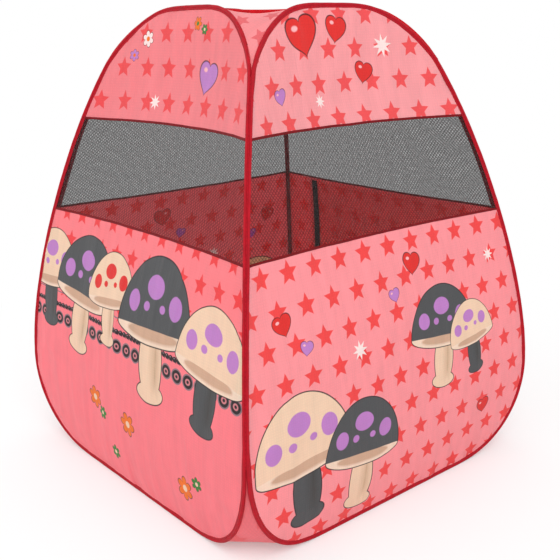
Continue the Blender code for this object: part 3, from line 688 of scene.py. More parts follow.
RIGHT_LOWER_MOTIFS = (
    ("toadstool", (-0.235, 0.045), 0.250, 5, TOADSTOOL_CREAM),
    ("toadstool", (-0.120, 0.030), 0.215, -6, TOADSTOOL_DARK),
    ("toadstool", (0.105, 0.200), 0.200, -5, TOADSTOOL_DARK),
    ("toadstool", (0.205, 0.205), 0.150, 7, TOADSTOOL_CREAM),
    ("heart", (-0.265, 0.400), 0.019, 12, (RED,)),
    ("heart", (-0.225, 0.355), 0.013, -10, (LILAC,)),
    ("heart", (0.000, 0.395), 0.013, 10, (LILAC,)),
    ("heart", (0.055, 0.440), 0.021, -8, (RED,)),
    ("heart", (0.235, 0.120), 0.017, 8, (RED,)),
    ("sparkle", (-0.105, 0.325), 0.018, 6, (WHITE,)),
    ("sparkle", (0.270, 0.425), 0.014, 0, (WHITE,)),
)
BACK_LOWER_MOTIFS = (
    ("toadstool", (-0.120, 0.100), 0.240, 6, TOADSTOOL_DARK),
    ("toadstool", (0.030, 0.095), 0.180, -6, TOADSTOOL_CREAM),
    ("heart", (0.120, 0.330), 0.019, 8, (RED,)),
    ("heart", (-0.080, 0.410), 0.015, -8, (LILAC,)),
    ("sparkle", (0.180, 0.240), 0.018, 0, (WHITE,)),
)

# Star rows of each part: a star's place, (column, row) steps, lean of each row, star radius
UPPER_STARS = ((0.0420, 0.7050), (0.0645, 0.0583), -0.0330, 0.0205)
LOWER_STARS = ((0.0060, 0.4826), (0.0608, 0.0575), -0.0270, 0.0205)
FRONT_UPPER_STARS = ((-0.0010, 0.8520), (0.0625, 0.0625), -0.0120, 0.0205)
FRONT_LOWER_STARS = ((0.0100, 0.5050), (0.0560, 0.0505), -0.0280, 0.0190)
FLOOR_STARS = ((0.0000, 0.0000), (0.0630, 0.0580), 0.0315, 0.0200)
ROOF_STARS = ((0.0000, 0.0000), (0.0500, 0.0460), 0.0250, 0.0165)


# Materials


def surface_of(add, colour, noise, rough, relief, sockets=None, **bump_settings):
    """A surface whose gloss follows a noise and whose relief follows a height: (its output, its normal)."""
    gloss = add("MapRange", noise, 0.0, 1.0, *rough)
    bump = add("Bump", relief, **bump_settings)
    inputs = {"Base Color": colour, "Roughness": gloss, "Normal": bump, **(sockets or {})}
    return add("BsdfPrincipled", inputs), bump


def printed_cloth(name, settings, ground, star, stars, motifs=(), plain_below=None):
    """Printed polyester taffeta, woven smooth and printed by heat transfer.

    It gives the eye flat soft-edged inks on a faintly silky ground, fine crinkles that catch the light, a
    weave that only just shows, and a warm glow where light comes through from behind.
    """
    material, add = new_material(name)
    plan = add("UVMap", uv_map="Plan")
    first, steps, lean, radius = stars
    rows = {"First": (*first, 0), "Step": (*steps, 1), "Lean": lean, "Radius": radius * settings.star_size}
    inside = add("Group", {"Place": plan, **rows}, node_tree=PRINTS["stars"])
    colour = add("Mix", {0: inside, 6: linear(ground), 7: linear(star)}, out=2, data_type="RGBA")
    if plain_below:
        height, plain = plain_below
        under = add("Math", add("SeparateXYZ", plan, out=1), height, operation="SUBTRACT")
        colour = lay(add, colour, linear(plain), under, 0, 0.0008)
    for kind, centre, size, turn, inks in motifs:
        place = {"Location": (*centre, 0), "Rotation": (0, 0, math.radians(turn)), "Scale": (size,) * 3}
        local = add("Mapping", {"Vector": plan, **place}, vector_type="TEXTURE")
        inputs = {0: local, **{number: linear(ink) for number, ink in enumerate(inks, 1)}}
        motif = add("Group", inputs, out=None, node_tree=PRINTS[kind]).outputs
        colour = add("Mix", {0: motif["Cover"], 6: colour, 7: motif["Colour"]}, out=2, data_type="RGBA")
    # Ink takes unevenly on the cloth, in soft patches some centimetres across
    patches = add("TexNoise", {"Vector": plan, "Scale": 26.0, "Detail": 3.0, "Roughness": 0.6})
    # Painted light and shade of creases that run up the cloth: paler along their tops, darker between them
    tall = add("VectorMath", plan, (1.0, 0.10, 1), operation="MULTIPLY")
    noise = {"Scale": 44.0, "Detail": 3.0, "Roughness": 0.6, "Distortion": 0.3}
    crease_shading = add("TexNoise", {"Vector": tall, **noise})
    # Taffeta has threads each 0.3 mm, drawn here 2.4 mm apart because finer ones wouldn't show
    threads = math.pi / settings.thread_spacing
    bands = {"Vector": plan, "Scale": threads / 20, "Distortion": 0.6, "Detail": 1.0, "Detail Scale": 3.0}
    weave = [add("TexWave", bands, out="Fac", bands_direction=axis) for axis in ("X", "Y")]
    weave = add("Math", *weave, operation="MULTIPLY")
    tone = add("MapRange", patches, 0.0, 1.0, 0.95, 1.05)
    # The weave also lightens the colour on its threads and darkens it between them: painted highlight and
    # shade
    for part, *reach in ((crease_shading, 0.34, 0.66, 0.968, 1.026), (weave, 0.0, 1.0, 0.975, 1.015)):
        tone = add("Math", tone, add("MapRange", part, *reach), operation="MULTIPLY")
    colour = add("Mix", {0: 1.0, 6: colour, 7: tone}, out=2, data_type="RGBA", blend_type="MULTIPLY")
    # Crinkles from packing: long fine creases that run up the cloth, and short ones across them
    below = {}
    for scale, stretch, distance in ((30.0, (1.0, 0.14, 1), 0.0030), (62.0, (0.6, 1.0, 1), 0.0009)):
        stretched = add("VectorMath", plan, stretch, operation="MULTIPLY")
        noise = {"Vector": stretched, "Scale": scale, "Detail": 4.0, "Roughness": 0.62, "Distortion": 0.4}
        relief = {"Height": add("TexNoise", noise), "Strength": settings.crinkle, "Distance": distance}
        below = {"Normal": add("Bump", {**relief, **below})}
    relief = {"Height": weave, "Strength": 0.35, "Distance": 0.0003, **below}
    sockets = {"Sheen Weight": 0.15, "Sheen Roughness": 0.4, "Specular IOR Level": 0.35}
    surface, bump = surface_of(add, colour, patches, (0.52, 0.68), relief, sockets)
    # Light that comes through the cloth is deeper in colour than light that it throws back
    glow = add("BsdfTranslucent", {"Color": add("Gamma", colour, 2.3), "Normal": bump})
    add("OutputMaterial", add("MixShader", settings.glow, surface, glow), out=None)
    return material


def bound_tape(name, colour_hex, deep_hex, rib, roughness, stitch=None):
    """Woven polyester binding tape, folded over an edge and sewn down with lines of lockstitch.

    It gives the eye a saturated matt red with fine ribs across its length, painted darker in their grooves,
    rubbed in soft patches, and rows of short bright stitches sunk in a channel darkened with painted shade.
    """
    material, add = new_material(name)
    light, deep = linear(colour_hex), linear(deep_hex)
    plan = add("UVMap", uv_map="Plan")
    way = add("SeparateXYZ", plan, out=None).outputs
    ribs = add("Math", add("Math", way[0], 2 * math.pi / rib, operation="MULTIPLY"), operation="SINE")
    patches = add("TexNoise", {"Vector": plan, "Scale": 70.0, "Detail": 3.0})
    faded = add("MapRange", add("MapRange", patches, 0.35, 0.65), 0.0, 1.0, 0.60, 1.0)
    colour = add("Mix", {0: faded, 6: deep, 7: light}, out=2, data_type="RGBA")
    # Painted shade and light of the ribs: darker in their grooves, lighter on their tops
    rib_shading = add("MapRange", ribs, -1.0, 1.0, 0.90, 1.05)
    colour = add("Mix", {0: 1.0, 6: colour, 7: rib_shading}, out=2, data_type="RGBA", blend_type="MULTIPLY")
    height = ribs
    if stitch:
        lines, length = stitch
        dash = add("Math", way[0], length, operation="PINGPONG")
        dash = add("MapRange", edge_of(dash, length * 0.62, length * 0.10))
        gaps = [add("Math", way[1], line, operation="SUBTRACT") for line in lines]
        gaps = [add("Math", gap, operation="ABSOLUTE") for gap in gaps]
        channels = [add("MapRange", edge_of(gap, 0.00045, 0.00025)) for gap in gaps]
        channel = joined(add, channels, "MAXIMUM")
        sewn = add("Math", channel, dash, operation="MULTIPLY")
        # Painted shade: the sunk channel of each line of stitches is darkened towards the deep colour
        shaded = add("Math", channel, 0.55, operation="MULTIPLY")
        for share, ink in ((shaded, deep), (sewn, light)):
            colour = add("Mix", {0: share, 6: colour, 7: ink}, out=2, data_type="RGBA")
        sunk = add("Math", channel, -3.0, ribs, operation="MULTIPLY_ADD")
        height = add("Math", sewn, 3.5, sunk, operation="MULTIPLY_ADD")
    relief = {"Height": height, "Strength": 0.5, "Distance": 0.00015}
    sockets = {"Sheen Weight": 0.02, "Sheen Roughness": 0.5, "Specular IOR Level": 0.14}
    rough = (roughness - 0.08, roughness + 0.08)
    add("OutputMaterial", surface_of(add, colour, patches, rough, relief, sockets)[0], out=None)
    return material


def knitted_net(settings):
    """Black polyester net, warp knitted with open diamond cells.

    It gives the eye a smoky grey veil: dark strands with a few bright flecks of painted highlight, and what
    lies behind it.
    """
    material, add = new_material("Black knitted polyester net")
    plan = add("UVMap", uv_map="Plan")
    slanted = add("Mapping", {"Vector": plan, "Rotation": (0, 0, math.radians(52))})
    wobble = add("TexNoise", {"Vector": plan, "Scale": 60.0, "Detail": 1.0}, out="Color")
    wobble = add("VectorMath", wobble, (0.0012,) * 3, operation="MULTIPLY")
    way = add("SeparateXYZ", add("VectorMath", slanted, wobble, operation="ADD"), out=None).outputs
    # Real cells are 1.5 mm across, drawn here 5 mm because finer ones would melt into flat grey
    cell = settings.net_cell
    gap = joined(add, [add("Math", way[axis], cell / 2, operation="PINGPONG") for axis in (0, 1)])
    strand = add("MapRange", edge_of(gap, cell * settings.net_strand / 2, cell * 0.08))
    # Between the strands as drawn, the finer ones of the real net still hold back part of the light
    solid = add("MapRange", strand, 0.0, 1.0, settings.haze, 0.74)
    # Cells open and close a little, in short runs along the knitted courses
    course = add("VectorMath", slanted, (1.0, 2.4, 1.0), operation="MULTIPLY")
    runs = add("TexNoise", {"Vector": course, "Scale": 130.0, "Detail": 3.0, "Roughness": 0.7})
    runs = add("MapRange", runs, 0.34, 0.66, -settings.speckle, settings.speckle)
    solid = add("Math", solid, runs, operation="ADD", use_clamp=True)
    # Painted highlights: bright flecks of glint along the strands, from a fine noise that also sets their
    # gloss
    flecks = add("TexNoise", {"Vector": plan, "Scale": 420.0, "Detail": 2.0})
    bright = add("MapRange", flecks, 0.50, 0.72)
    colour = add("Mix", {0: bright, 6: linear("171516"), 7: linear("565250")}, out=2, data_type="RGBA")
    relief = {"Height": gap, "Strength": 0.6, "Distance": 0.0008}
    sockets = {"Specular IOR Level": 0.2}
    surface = surface_of(add, colour, flecks, (0.55, 0.85), relief, sockets, invert=True)[0]
    add("OutputMaterial", add("MixShader", solid, add("BsdfTransparent"), surface), out=None)
    return material


def napped_tape(name, colour_hex, spot):
    """Black nylon hook and loop tape.

    It gives the eye a soft black without shine, broken by rows of fine hooks or a fuzz of loops.
    """
    material, add = new_material(name)
    plan = add("UVMap", uv_map="Plan")
    cells = add("TexVoronoi", {"Vector": plan, "Scale": 1 / spot}, out="Distance")
    fuzz = add("TexNoise", {"Vector": plan, "Scale": 900.0, "Detail": 3.0})
    colour = add("Mix", {0: cells, 6: linear(colour_hex), 7: linear("262224")}, out=2, data_type="RGBA")
    relief = {"Height": add("Math", cells, fuzz, operation="ADD"), "Strength": 0.8, "Distance": 0.0004}
    sockets = {"Sheen Weight": 0.05, "Specular IOR Level": 0.15}
    add("OutputMaterial", surface_of(add, colour, fuzz, (0.80, 0.98), relief, sockets)[0], out=None)
    return material


def streaked_solid(name, dark_hex, light_hex, noise, rough, relief, metallic=0.0):
    """A hard material whose colour, gloss and relief follow one fine noise."""
    material, add = new_material(name)
    grain = add("TexNoise", {"Vector": add("TexCoord", out="Object"), **noise})
    colour = add("Mix", {0: grain, 6: linear(dark_hex), 7: linear(light_hex)}, out=2, data_type="RGBA")
    relief = {"Height": grain, "Strength": relief, "Distance": 0.0001}
    add("OutputMaterial", surface_of(add, colour, grain, rough, relief, {"Metallic": metallic})[0], out=None)
    return material


def moulded_toggle():
    """Black ABS, injection moulded with a fine spark texture. It gives the eye a soft satin highlight."""
    noise = {"Scale": 1400.0, "Detail": 2.0}
    return streaked_solid("Moulded black ABS toggle", "1B1B1D", "2A2A2C", noise, (0.34, 0.52), 0.3)


def drawn_metal(name, light_hex, dark_hex, roughness, line):
    """Metal with the fine lines of drawing or crimping. It gives the eye streaked satin reflections."""
    noise = {"Scale": 1 / line, "Detail": 4.0}
    return streaked_solid(name, dark_hex, light_hex, noise, (roughness - 0.1, roughness + 0.1), 0.2, 1.0)


# Settings


class ClothSettings(bpy.types.PropertyGroup):
    """Sizes and looks of the printed cloth."""

    spacing: FloatProperty(
        name="Mesh spacing", description="Distance between the rows of a cloth's mesh",
        default=0.0045, unit="LENGTH",
    )
    crease_depth: FloatProperty(
        name="Crease depth", description="Depth of the folds and puckers, as a share of the usual",
        default=1.0,
    )
    crinkle: FloatProperty(
        name="Crinkle", description="Strength of the fine packing creases", default=0.85, subtype="FACTOR"
    )
    star_size: FloatProperty(
        name="Star size", description="Size of the printed stars, as a share of the usual", default=1.0
    )
    thread_spacing: FloatProperty(
        name="Thread spacing", description="Distance between the threads as drawn",
        default=0.0024, unit="LENGTH",
    )
    glow: FloatProperty(
        name="Glow", description="Share of the light that comes through the cloth",
        default=0.34, subtype="FACTOR",
    )


class NetSettings(bpy.types.PropertyGroup):
    """Sizes of the window net."""

    net_cell: FloatProperty(
        name="Cell", description="Width of a net cell as drawn", default=0.0050, unit="LENGTH"
    )
    net_strand: FloatProperty(
        name="Strand", description="Width of a strand, as a share of the cell", default=0.32, subtype="FACTOR"
    )
    haze: FloatProperty(
        name="Haze", description="Share of the light held back between the strands",
        default=0.41, subtype="FACTOR",
    )
    speckle: FloatProperty(
        name="Speckle", description="How much the cells vary in openness", default=0.10, subtype="FACTOR"
    )


class SleeveSettings(bpy.types.PropertyGroup):
    """Sizes of the bindings."""

    ring_spacing: FloatProperty(
        name="Ring spacing", description="Distance between the rings of a sleeve's mesh",
        default=0.0038, unit="LENGTH",
    )
    pucker: FloatProperty(
        name="Pucker", description="How far the sleeve swells and pulls in", default=0.00022, unit="LENGTH"
    )
    section_steps: IntProperty(name="Section steps", description="Points round the sleeve's tube", default=14)


class StageSettings(bpy.types.PropertyGroup):
    """Light and ground round the tent."""

    key_power: FloatProperty(
        name="Key light", description="Power of the main lamp", default=63.0, unit="POWER"
    )
    fill_power: FloatProperty(
        name="Fill light", description="Power of the side lamp", default=24.0, unit="POWER"
    )
    sky: FloatProperty(name="Sky", description="Strength of the light from all round", default=0.905)
    ground_colour: FloatVectorProperty(
        name="Ground", description="Colour of the studio floor", subtype="COLOR", default=linear("F7F7F7")[:3]
    )


class TentSettings(bpy.types.PropertyGroup):
    """All settings of the play tent."""

    cloth: PointerProperty(type=ClothSettings)
    net: PointerProperty(type=NetSettings)
    sleeve: PointerProperty(type=SleeveSettings)
    stage: PointerProperty(type=StageSettings)


# Cloth pieces


def add_cloth(wall, part, x, z, lift, material, skip=None):
    """One cloth of one wall, over points at (x, z) that stand off the wall's plain form by the lift."""
    name = f"{wall}_{part}"
    mesh = grid_mesh(f"{name}_cloth", turned(on_wall(x, z, lift), wall), np.stack([x, z], -1), skip)
    clean_mesh(mesh)
    piece = add_piece(f"{name}_cloth", mesh, material, wall, [name])


def wall_cloth(wall, part, low, high, material, slot, settings, calm=1.0):
    """A whole cloth, from hem to hem or from hem to sleeve."""
    z = row_heights(low, high, settings.spacing)[:, None]
    edge = edge_half_width(z)
    shares = np.linspace(-1, 1, 2 * round(edge.max() / settings.spacing) + 1)[None, :]
    x, z = shares * edge, z + 0 * shares
    add_cloth(wall, part, x, z, creases(x, z, wall, settings.crease_depth * calm), material)


def doorway_hinge(z):
    """x of the doorway's sewn side, a straight line."""
    share = (np.asarray(z) - DOORWAY_SILL) / (DOORWAY_TOP - DOORWAY_SILL)
    return -(doorway_seam(DOORWAY_SILL) * (1 - share) + doorway_seam(DOORWAY_TOP) * share)


def doorway_seam(z):
    """x of the doorway's closing side, which runs along the corner seam."""
    return curved_reach(z) - DOORWAY_SEAM_MARGIN


def doorway_cloth(material, slot, settings):
    """The back wall's lower cloth, open at the doorway."""
    spacing = settings.spacing
    z = row_heights(CLOTH_FOOT, LOWER_HEM_HEIGHT, spacing)
    for height in (DOORWAY_SILL, DOORWAY_TOP):
        z[np.argmin(np.abs(z - height))] = height
    level = np.clip(z, DOORWAY_SILL, None)
    fit = edge_half_width(z) / edge_half_width(level)
    edge, hinge, seam = edge_half_width(z), doorway_hinge(level) * fit, doorway_seam(level) * fit
    narrow, wide = round(DOORWAY_SIDE_WIDTH / spacing), round(DOORWAY_WIDTH / spacing)
    parts = [
        np.linspace(-edge, hinge, narrow, axis=1)[:, :-1],
        np.linspace(hinge, seam, wide, axis=1)[:, :-1],
        np.linspace(seam, edge, narrow, axis=1),
    ]
    x = np.concatenate(parts, 1)
    z = np.repeat(z[:, None], x.shape[1], 1)
    rows = (z[:-1, 0] >= DOORWAY_SILL - 1e-9) & (z[1:, 0] <= DOORWAY_TOP + 1e-9)
    cells = np.arange(x.shape[1] - 1)
    skip = rows[:, None] & ((cells >= narrow - 1) & (cells < narrow + wide - 2))[None, :]
    calm = ease((np.abs(x - np.clip(x, doorway_hinge(z), doorway_seam(z))) - 0.002) / 0.02)
    lift = creases(x, z, "back", settings.crease_depth) * np.where(z > DOORWAY_TOP, 0.2, calm)
    open_rows = rows.nonzero()[0]
    opening = slice(open_rows[0], open_rows[-1] + 2), slice(narrow - 1, narrow + wide - 1)
    add_cloth("back", "lower_panel", x, z, lift, material, skip)


class PLAYTENT_OT_wall_cloth(bpy.types.Operator):
    """Add the printed lower and upper cloths of the four walls"""

    bl_idname = "playtent.wall_cloth"
    bl_label = "Wall cloth"

    def execute(self, context):
        settings = context.scene.play_tent.cloth
        front_lower = FRONT_LOWER_STARS, FRONT_LOWER_MOTIFS, (PLAIN_TOP, "FF8993")
        looks = {
            "front_lower": ("with lace edging", "FF8B92", "F64347", *front_lower),
            "front_upper": ("with lilac heart", "F68D93", "F25054", FRONT_UPPER_STARS, FRONT_UPPER_MOTIFS),
            "right_lower": ("with toadstools", "FFA2A8", "F74C4C", LOWER_STARS, RIGHT_LOWER_MOTIFS),
            "right_upper": ("with hearts", "FAABAF", "F4585B", UPPER_STARS, RIGHT_UPPER_MOTIFS),
            "doorway": ("round the doorway", "FF9095", "F94C4C", LOWER_STARS),
        }
        cloths = {
            name: printed_cloth(f"Printed polyester {title}", settings, *inks)
            for name, (title, *inks) in looks.items()
        }
        # The left wall is cut like the right one, and the back wall's upper cloth like the front's
        for wall, lower, upper in (
            ("front", "front_lower", "front_upper"),
            ("right", "right_lower", "right_upper"),
            ("back", "doorway", "front_upper"),
            ("left", "right_lower", "right_upper"),
        ):
            looks = cloths[lower], "pink_cloth", settings
            if wall == "back":
                doorway_cloth(*looks)
            else:
                wall_cloth(wall, "lower_panel", CLOTH_FOOT, LOWER_HEM_HEIGHT, *looks)
            looks = cloths[upper], "pink_cloth", settings
            wall_cloth(wall, "upper_panel", UPPER_HEM_HEIGHT, CLOTH_CROWN, *looks)
        return {"FINISHED"}


class PLAYTENT_OT_windows(bpy.types.Operator):
    """Add the net windows of the four walls"""

    bl_idname = "playtent.windows"
    bl_label = "Net windows"

    def execute(self, context):
        settings = context.scene.play_tent
        looks = knitted_net(settings.net), "black_mesh", settings.cloth
        for wall in WALLS:
            wall_cloth(wall, "mesh_window", LOWER_HEM_HEIGHT, UPPER_HEM_HEIGHT, *looks, calm=0.7)
        return {"FINISHED"}


def sleeve_section(steps):
    """(away from the cloth, outward) of the sleeve's outside: tube, crease, and lip with its rolled end."""
    start = math.pi - math.asin(0.0009 / SLEEVE_RADIUS)
    turns = np.linspace(-start, start, steps + 1)
    tube = [(SLEEVE_RADIUS * math.cos(turn), SLEEVE_RADIUS * math.sin(turn)) for turn in turns]
    lip = [
        (-0.0033, 0.00085),
        (-0.0038, LIP_HALF_THICKNESS),
        (-0.0050, LIP_HALF_THICKNESS),
        (-LIP_REACH, 0.0007),
        (-LIP_REACH - 0.0002, 0),
    ]
    return np.array([*tube, *lip, *[(across, -outward) for across, outward in reversed(lip[:-1])]])


def tight_section(section, steps):
    """The section where two sleeves are sewn together: short lips, a smaller tube leaning on the other."""
    tight = section * TIGHT_RADIUS / SLEEVE_RADIUS + np.array([TIGHT_SHIFT, -TIGHT_SHIFT])
    lip = slice(steps + 1, None)
    shares = (section[lip, 0] + SLEEVE_RADIUS) / (SLEEVE_RADIUS - LIP_REACH)
    root = TIGHT_SHIFT - TIGHT_RADIUS
    tight[lip, 0] = root + shares * (-TIGHT_LIP_REACH - root)
    tight[lip, 1] = section[lip, 1] * 0.8
    return tight


class PLAYTENT_OT_sleeves(bpy.types.Operator):
    """Add the crimson sleeves that bind the walls round their wire hoops"""

    bl_idname = "playtent.sleeves"
    bl_label = "Hoop sleeves"

    def execute(self, context):
        settings = context.scene.play_tent.sleeve
        section = sleeve_section(settings.section_steps)
        tight = tight_section(section, settings.section_steps)
        around = run_length(np.array([*section, section[0]]))
        lines = [around[settings.section_steps] + SLEEVE_STITCHES, around[-1] - SLEEVE_STITCHES]
        name = "Crimson woven polyester binding"
        tape = bound_tape(name, "B00D20", "7A0512", TAPE_RIB, 0.62, (lines, STITCH_LENGTH))
        x, z, along = even_outline(settings.ring_spacing)
        run_x, run_z = (np.roll(line, -1) - np.roll(line, 1) for line in (x, z))
        away_x, away_z = run_z / np.hypot(run_x, run_z), -run_x / np.hypot(run_x, run_z)
        middles = np.stack([x, -curved_reach(z), z], -1)
        run = unit(np.roll(middles, -1, 0) - np.roll(middles, 1, 0))
        edge_x, edge_z = x - away_x * CLOTH_EDGE_REACH, z - away_z * CLOTH_EDGE_REACH
        edge = on_wall(edge_x, np.clip(edge_z, CLOTH_FOOT, None))
        inner = on_wall(x - away_x * LIP_REACH, z - away_z * LIP_REACH)
        outward = unit(np.cross(run, edge - inner))
        across = np.cross(outward, run)
        sewn = ease((z - SEAM_FOOT_HEIGHT) / TIGHT_EASE) * ease((SEAM_HEAD_HEIGHT - z) / TIGHT_EASE)
        for number, wall in enumerate(WALLS):
            # The near and the far seam are drawn tight. The other two stand at the view's ends and stay full
            share = sewn * (x > 0 if wall in ("front", "back") else x < 0)
            rings = section + (tight - section) * share[:, None, None]
            fine, broad, drift = (
                soft_noise(along, 0, cell, seed + number)
                for cell, seed in ((0.014, SLEEVE_SEED), (0.040, SLEEVE_SEED + 10), (0.020, SLEEVE_SEED + 20))
            )
            swell, wander = fine * 0.6 + broad * 0.4, drift * 0.0003
            growth = (1 + swell * settings.pucker / SLEEVE_RADIUS)[:, None]
            places = middles - across * np.maximum(wander, 0)[:, None]
            ways = across * growth, outward * growth
            mesh = loft_mesh(f"{wall}_sleeve", wall, places, *ways, rings, along, closed=True)
            add_piece(f"{wall}_sleeve_binding", mesh, tape, wall, [f"{wall}_hoop_sleeve"])
        return {"FINISHED"}


def round_section(half_width_across, half_thickness, steps=12):
    """A flat tape's section with rounded sides, as (across, outward)."""
    turns = np.linspace(0, 2 * math.pi, steps, endpoint=False)
    across = np.copysign(np.abs(np.cos(turns)) ** 0.6, np.cos(turns))
    outward = np.copysign(np.abs(np.sin(turns)) ** 0.8, np.sin(turns))
    return np.stack([across * half_width_across, outward * half_thickness], -1)


class PLAYTENT_OT_hems(bpy.types.Operator):
    """Add the dark red hems along the lower and upper edges of the windows"""

    bl_idname = "playtent.hems"
    bl_label = "Window hems"

    def execute(self, context):
        section = round_section(HEM_HALF_WIDTH, HEM_HALF_THICKNESS)
        stitch = ([HEM_STITCHES], HEM_STITCH_LENGTH)
        tape = bound_tape("Dark red folded hem tape", "78050F", "420208", TAPE_RIB, 0.66, stitch)
        for number, wall in enumerate(WALLS):
            for part, height in (("lower_hem", LOWER_HEM_HEIGHT), ("upper_hem", UPPER_HEM_HEIGHT)):
                reach = float(edge_half_width(height)) - HEM_END_SPACE
                x = np.linspace(-reach, reach, round(2 * reach / 0.004))
                seed = HEM_SEED + 10 * number + (part == "upper_hem")
                z = height + 0.0004 * soft_noise(x, 0, 0.050, seed)
                middles = on_wall(x, z, 0.00015 * soft_noise(x, 0, 0.015, seed + 2))
                run = unit(np.gradient(middles, axis=0))
                outward = np.cross(on_wall(x, z + 0.002) - on_wall(x, z - 0.002), run)
                outward = unit(outward * -np.sign(outward[:, 1:2]))
                rise = np.cross(run, outward)
                rise *= np.sign(rise[:, 2:3])
                mesh = loft_mesh(f"{wall}_{part}", wall, middles, rise, outward, section, run_length(middles))
                add_piece(f"{wall}_{part}_tape", mesh, tape, wall, [f"{wall}_{part}"])
        return {"FINISHED"}


class PLAYTENT_OT_corner_seams(bpy.types.Operator):
    """Add the bound seam allowances that stand inside the four corners"""

    bl_idname = "playtent.corner_seams"
    bl_label = "Corner seams"

    def execute(self, context):
        tape = bound_tape("Dark crimson seam allowance", "8E0916", "4A050C", TAPE_RIB, 0.7)
        stitch = ([COVER_STITCHES], STITCH_LENGTH)
        cover_tape = bound_tape("Crimson seam cover", "B00D20", "7A0512", TAPE_RIB, 0.62, stitch)
        z = np.linspace(SEAM_FOOT_HEIGHT + SEAM_END_SPACE, SEAM_HEAD_HEIGHT - SEAM_END_SPACE, 120)
        reach = curved_reach(z) - WIRE_CORNER_INSET / 2
        middles = np.stack([reach, -reach, z], -1)
        along = run_length(middles)
        tangent, inward = (np.tile(np.array([side, 1, 0]) / math.sqrt(2), (z.size, 1)) for side in (1, -1))
        for number, (name, wall, bodies, way) in enumerate(CORNERS):
            frill = inward * (1 + 0.05 * soft_noise(along, 0, 0.045, FRILL_SEED + number))[:, None]
            mesh = loft_mesh(f"{name}_corner_seam", wall, middles, tangent, frill, SEAM_SECTION, along)
            body = bodies[0] if len(bodies) == 1 else None
            pieces = [add_piece(f"{name}_corner_seam_tape", mesh, tape, body)]
            if body:
                continue
            if name != "left":
                mesh = loft_mesh(f"{name}_cover", wall, middles, tangent, inward, COVER_SECTION, along)
                pieces.append(add_piece(f"{name}_corner_cover_tape", mesh, cover_tape))
            for piece in pieces:
                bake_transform(piece)
        return {"FINISHED"}


# Roof and floor


def share_table(low, high):
    """(share of the half width, height) along part of the hoop, with the shares rising."""
    z = np.linspace(low, high, 600)
    share = half_width(z) / (curved_reach(z) - WIRE_CORNER_INSET)
    order = np.argsort(share)
    return share[order], z[order]


CROWN_SHARES = share_table(SEAM_HEAD_HEIGHT, CROWN_WIRE_HEIGHT)
FOOT_SHARES = share_table(FOOT_WIRE_HEIGHT, SEAM_FOOT_HEIGHT)


def roof_height(across, along):
    """Height of the roof, which hangs from its edges. Each half dips between the seam and its corner."""
    edge = np.interp(np.abs(across * along), *CROWN_SHARES)
    from_seam = np.abs(across - along) / 2
    dip = ROOF_SAG + ROOF_HALF_SAG * 4 * from_seam * (1 - from_seam)
    return edge - dip * (1 - across**2) * (1 - along**2)


def floor_height(across, along):
    edge = np.interp(np.abs(across * along), *FOOT_SHARES)
    dip = FOOT_WIRE_HEIGHT - FLOOR_HEIGHT
    return edge - dip * (1 - across**FLOOR_FLAT_POWER) * (1 - along**FLOOR_FLAT_POWER)


def on_sheet(across, along, height):
    """Points of a sheet at its shares of the tent's half width, drawn in from the sleeves at its edge."""
    half = curved_reach(height)
    inset = SHEET_INSET + SHEET_CORNER_INSET * np.abs(across * along) ** SHEET_INSET_POWER
    x, y = (share * half - inset * share**SHEET_INSET_POWER for share in (across, along))
    return np.stack([x, y, height], -1)


def half_sheet_mesh(name, side, height, count, lift, gap):
    """Half of a square sheet on one side of the diagonal from the left-front to the right-back corner."""
    steps = np.linspace(-1, 1, count)
    # Rows crowd towards the edges, where the sheet bends down or up to the corners
    steps = np.sign(steps) * (1 - (1 - np.abs(steps)) ** 1.25)
    across, along = np.meshgrid(steps, steps)
    points = on_sheet(across, along, height(across, along))
    points[..., 2] += lift(points[..., 0], points[..., 1], across, along)
    diagonal = np.arange(count)
    points[diagonal, diagonal, :2] += np.array([side, -side]) / math.sqrt(2) * gap
    square = np.ones((count, count), bool)
    keep = np.triu(square) if side > 0 else np.tril(square)
    numbers = -np.ones((count, count), int)
    numbers[keep] = np.arange(keep.sum())
    cells = np.stack([numbers[:-1, :-1], numbers[:-1, 1:], numbers[1:, 1:], numbers[1:, :-1]], -1)
    known = ([int(number) for number in cell if number >= 0] for cell in cells.reshape(-1, 4))
    mesh = bpy.data.meshes.new(name)
    mesh.from_pydata(points[keep].tolist(), [], [cell for cell in known if len(cell) >= 3])
    uv = mesh.uv_layers.new(name="Plan").data
    plan = points[keep][:, :2]
    for loop in mesh.loops:
        uv[loop.index].uv = plan[loop.vertex_index]
    mesh.shade_smooth()
    return mesh


def half_sheet(part, half, material, mesh, replaces):
    """Adds half of the roof or of the floor, between the two walls that carry it."""
    name, _, bodies = half
    piece = add_piece(f"{part}_{name}_cloth", mesh, material, replaces=[replaces])
    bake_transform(piece)


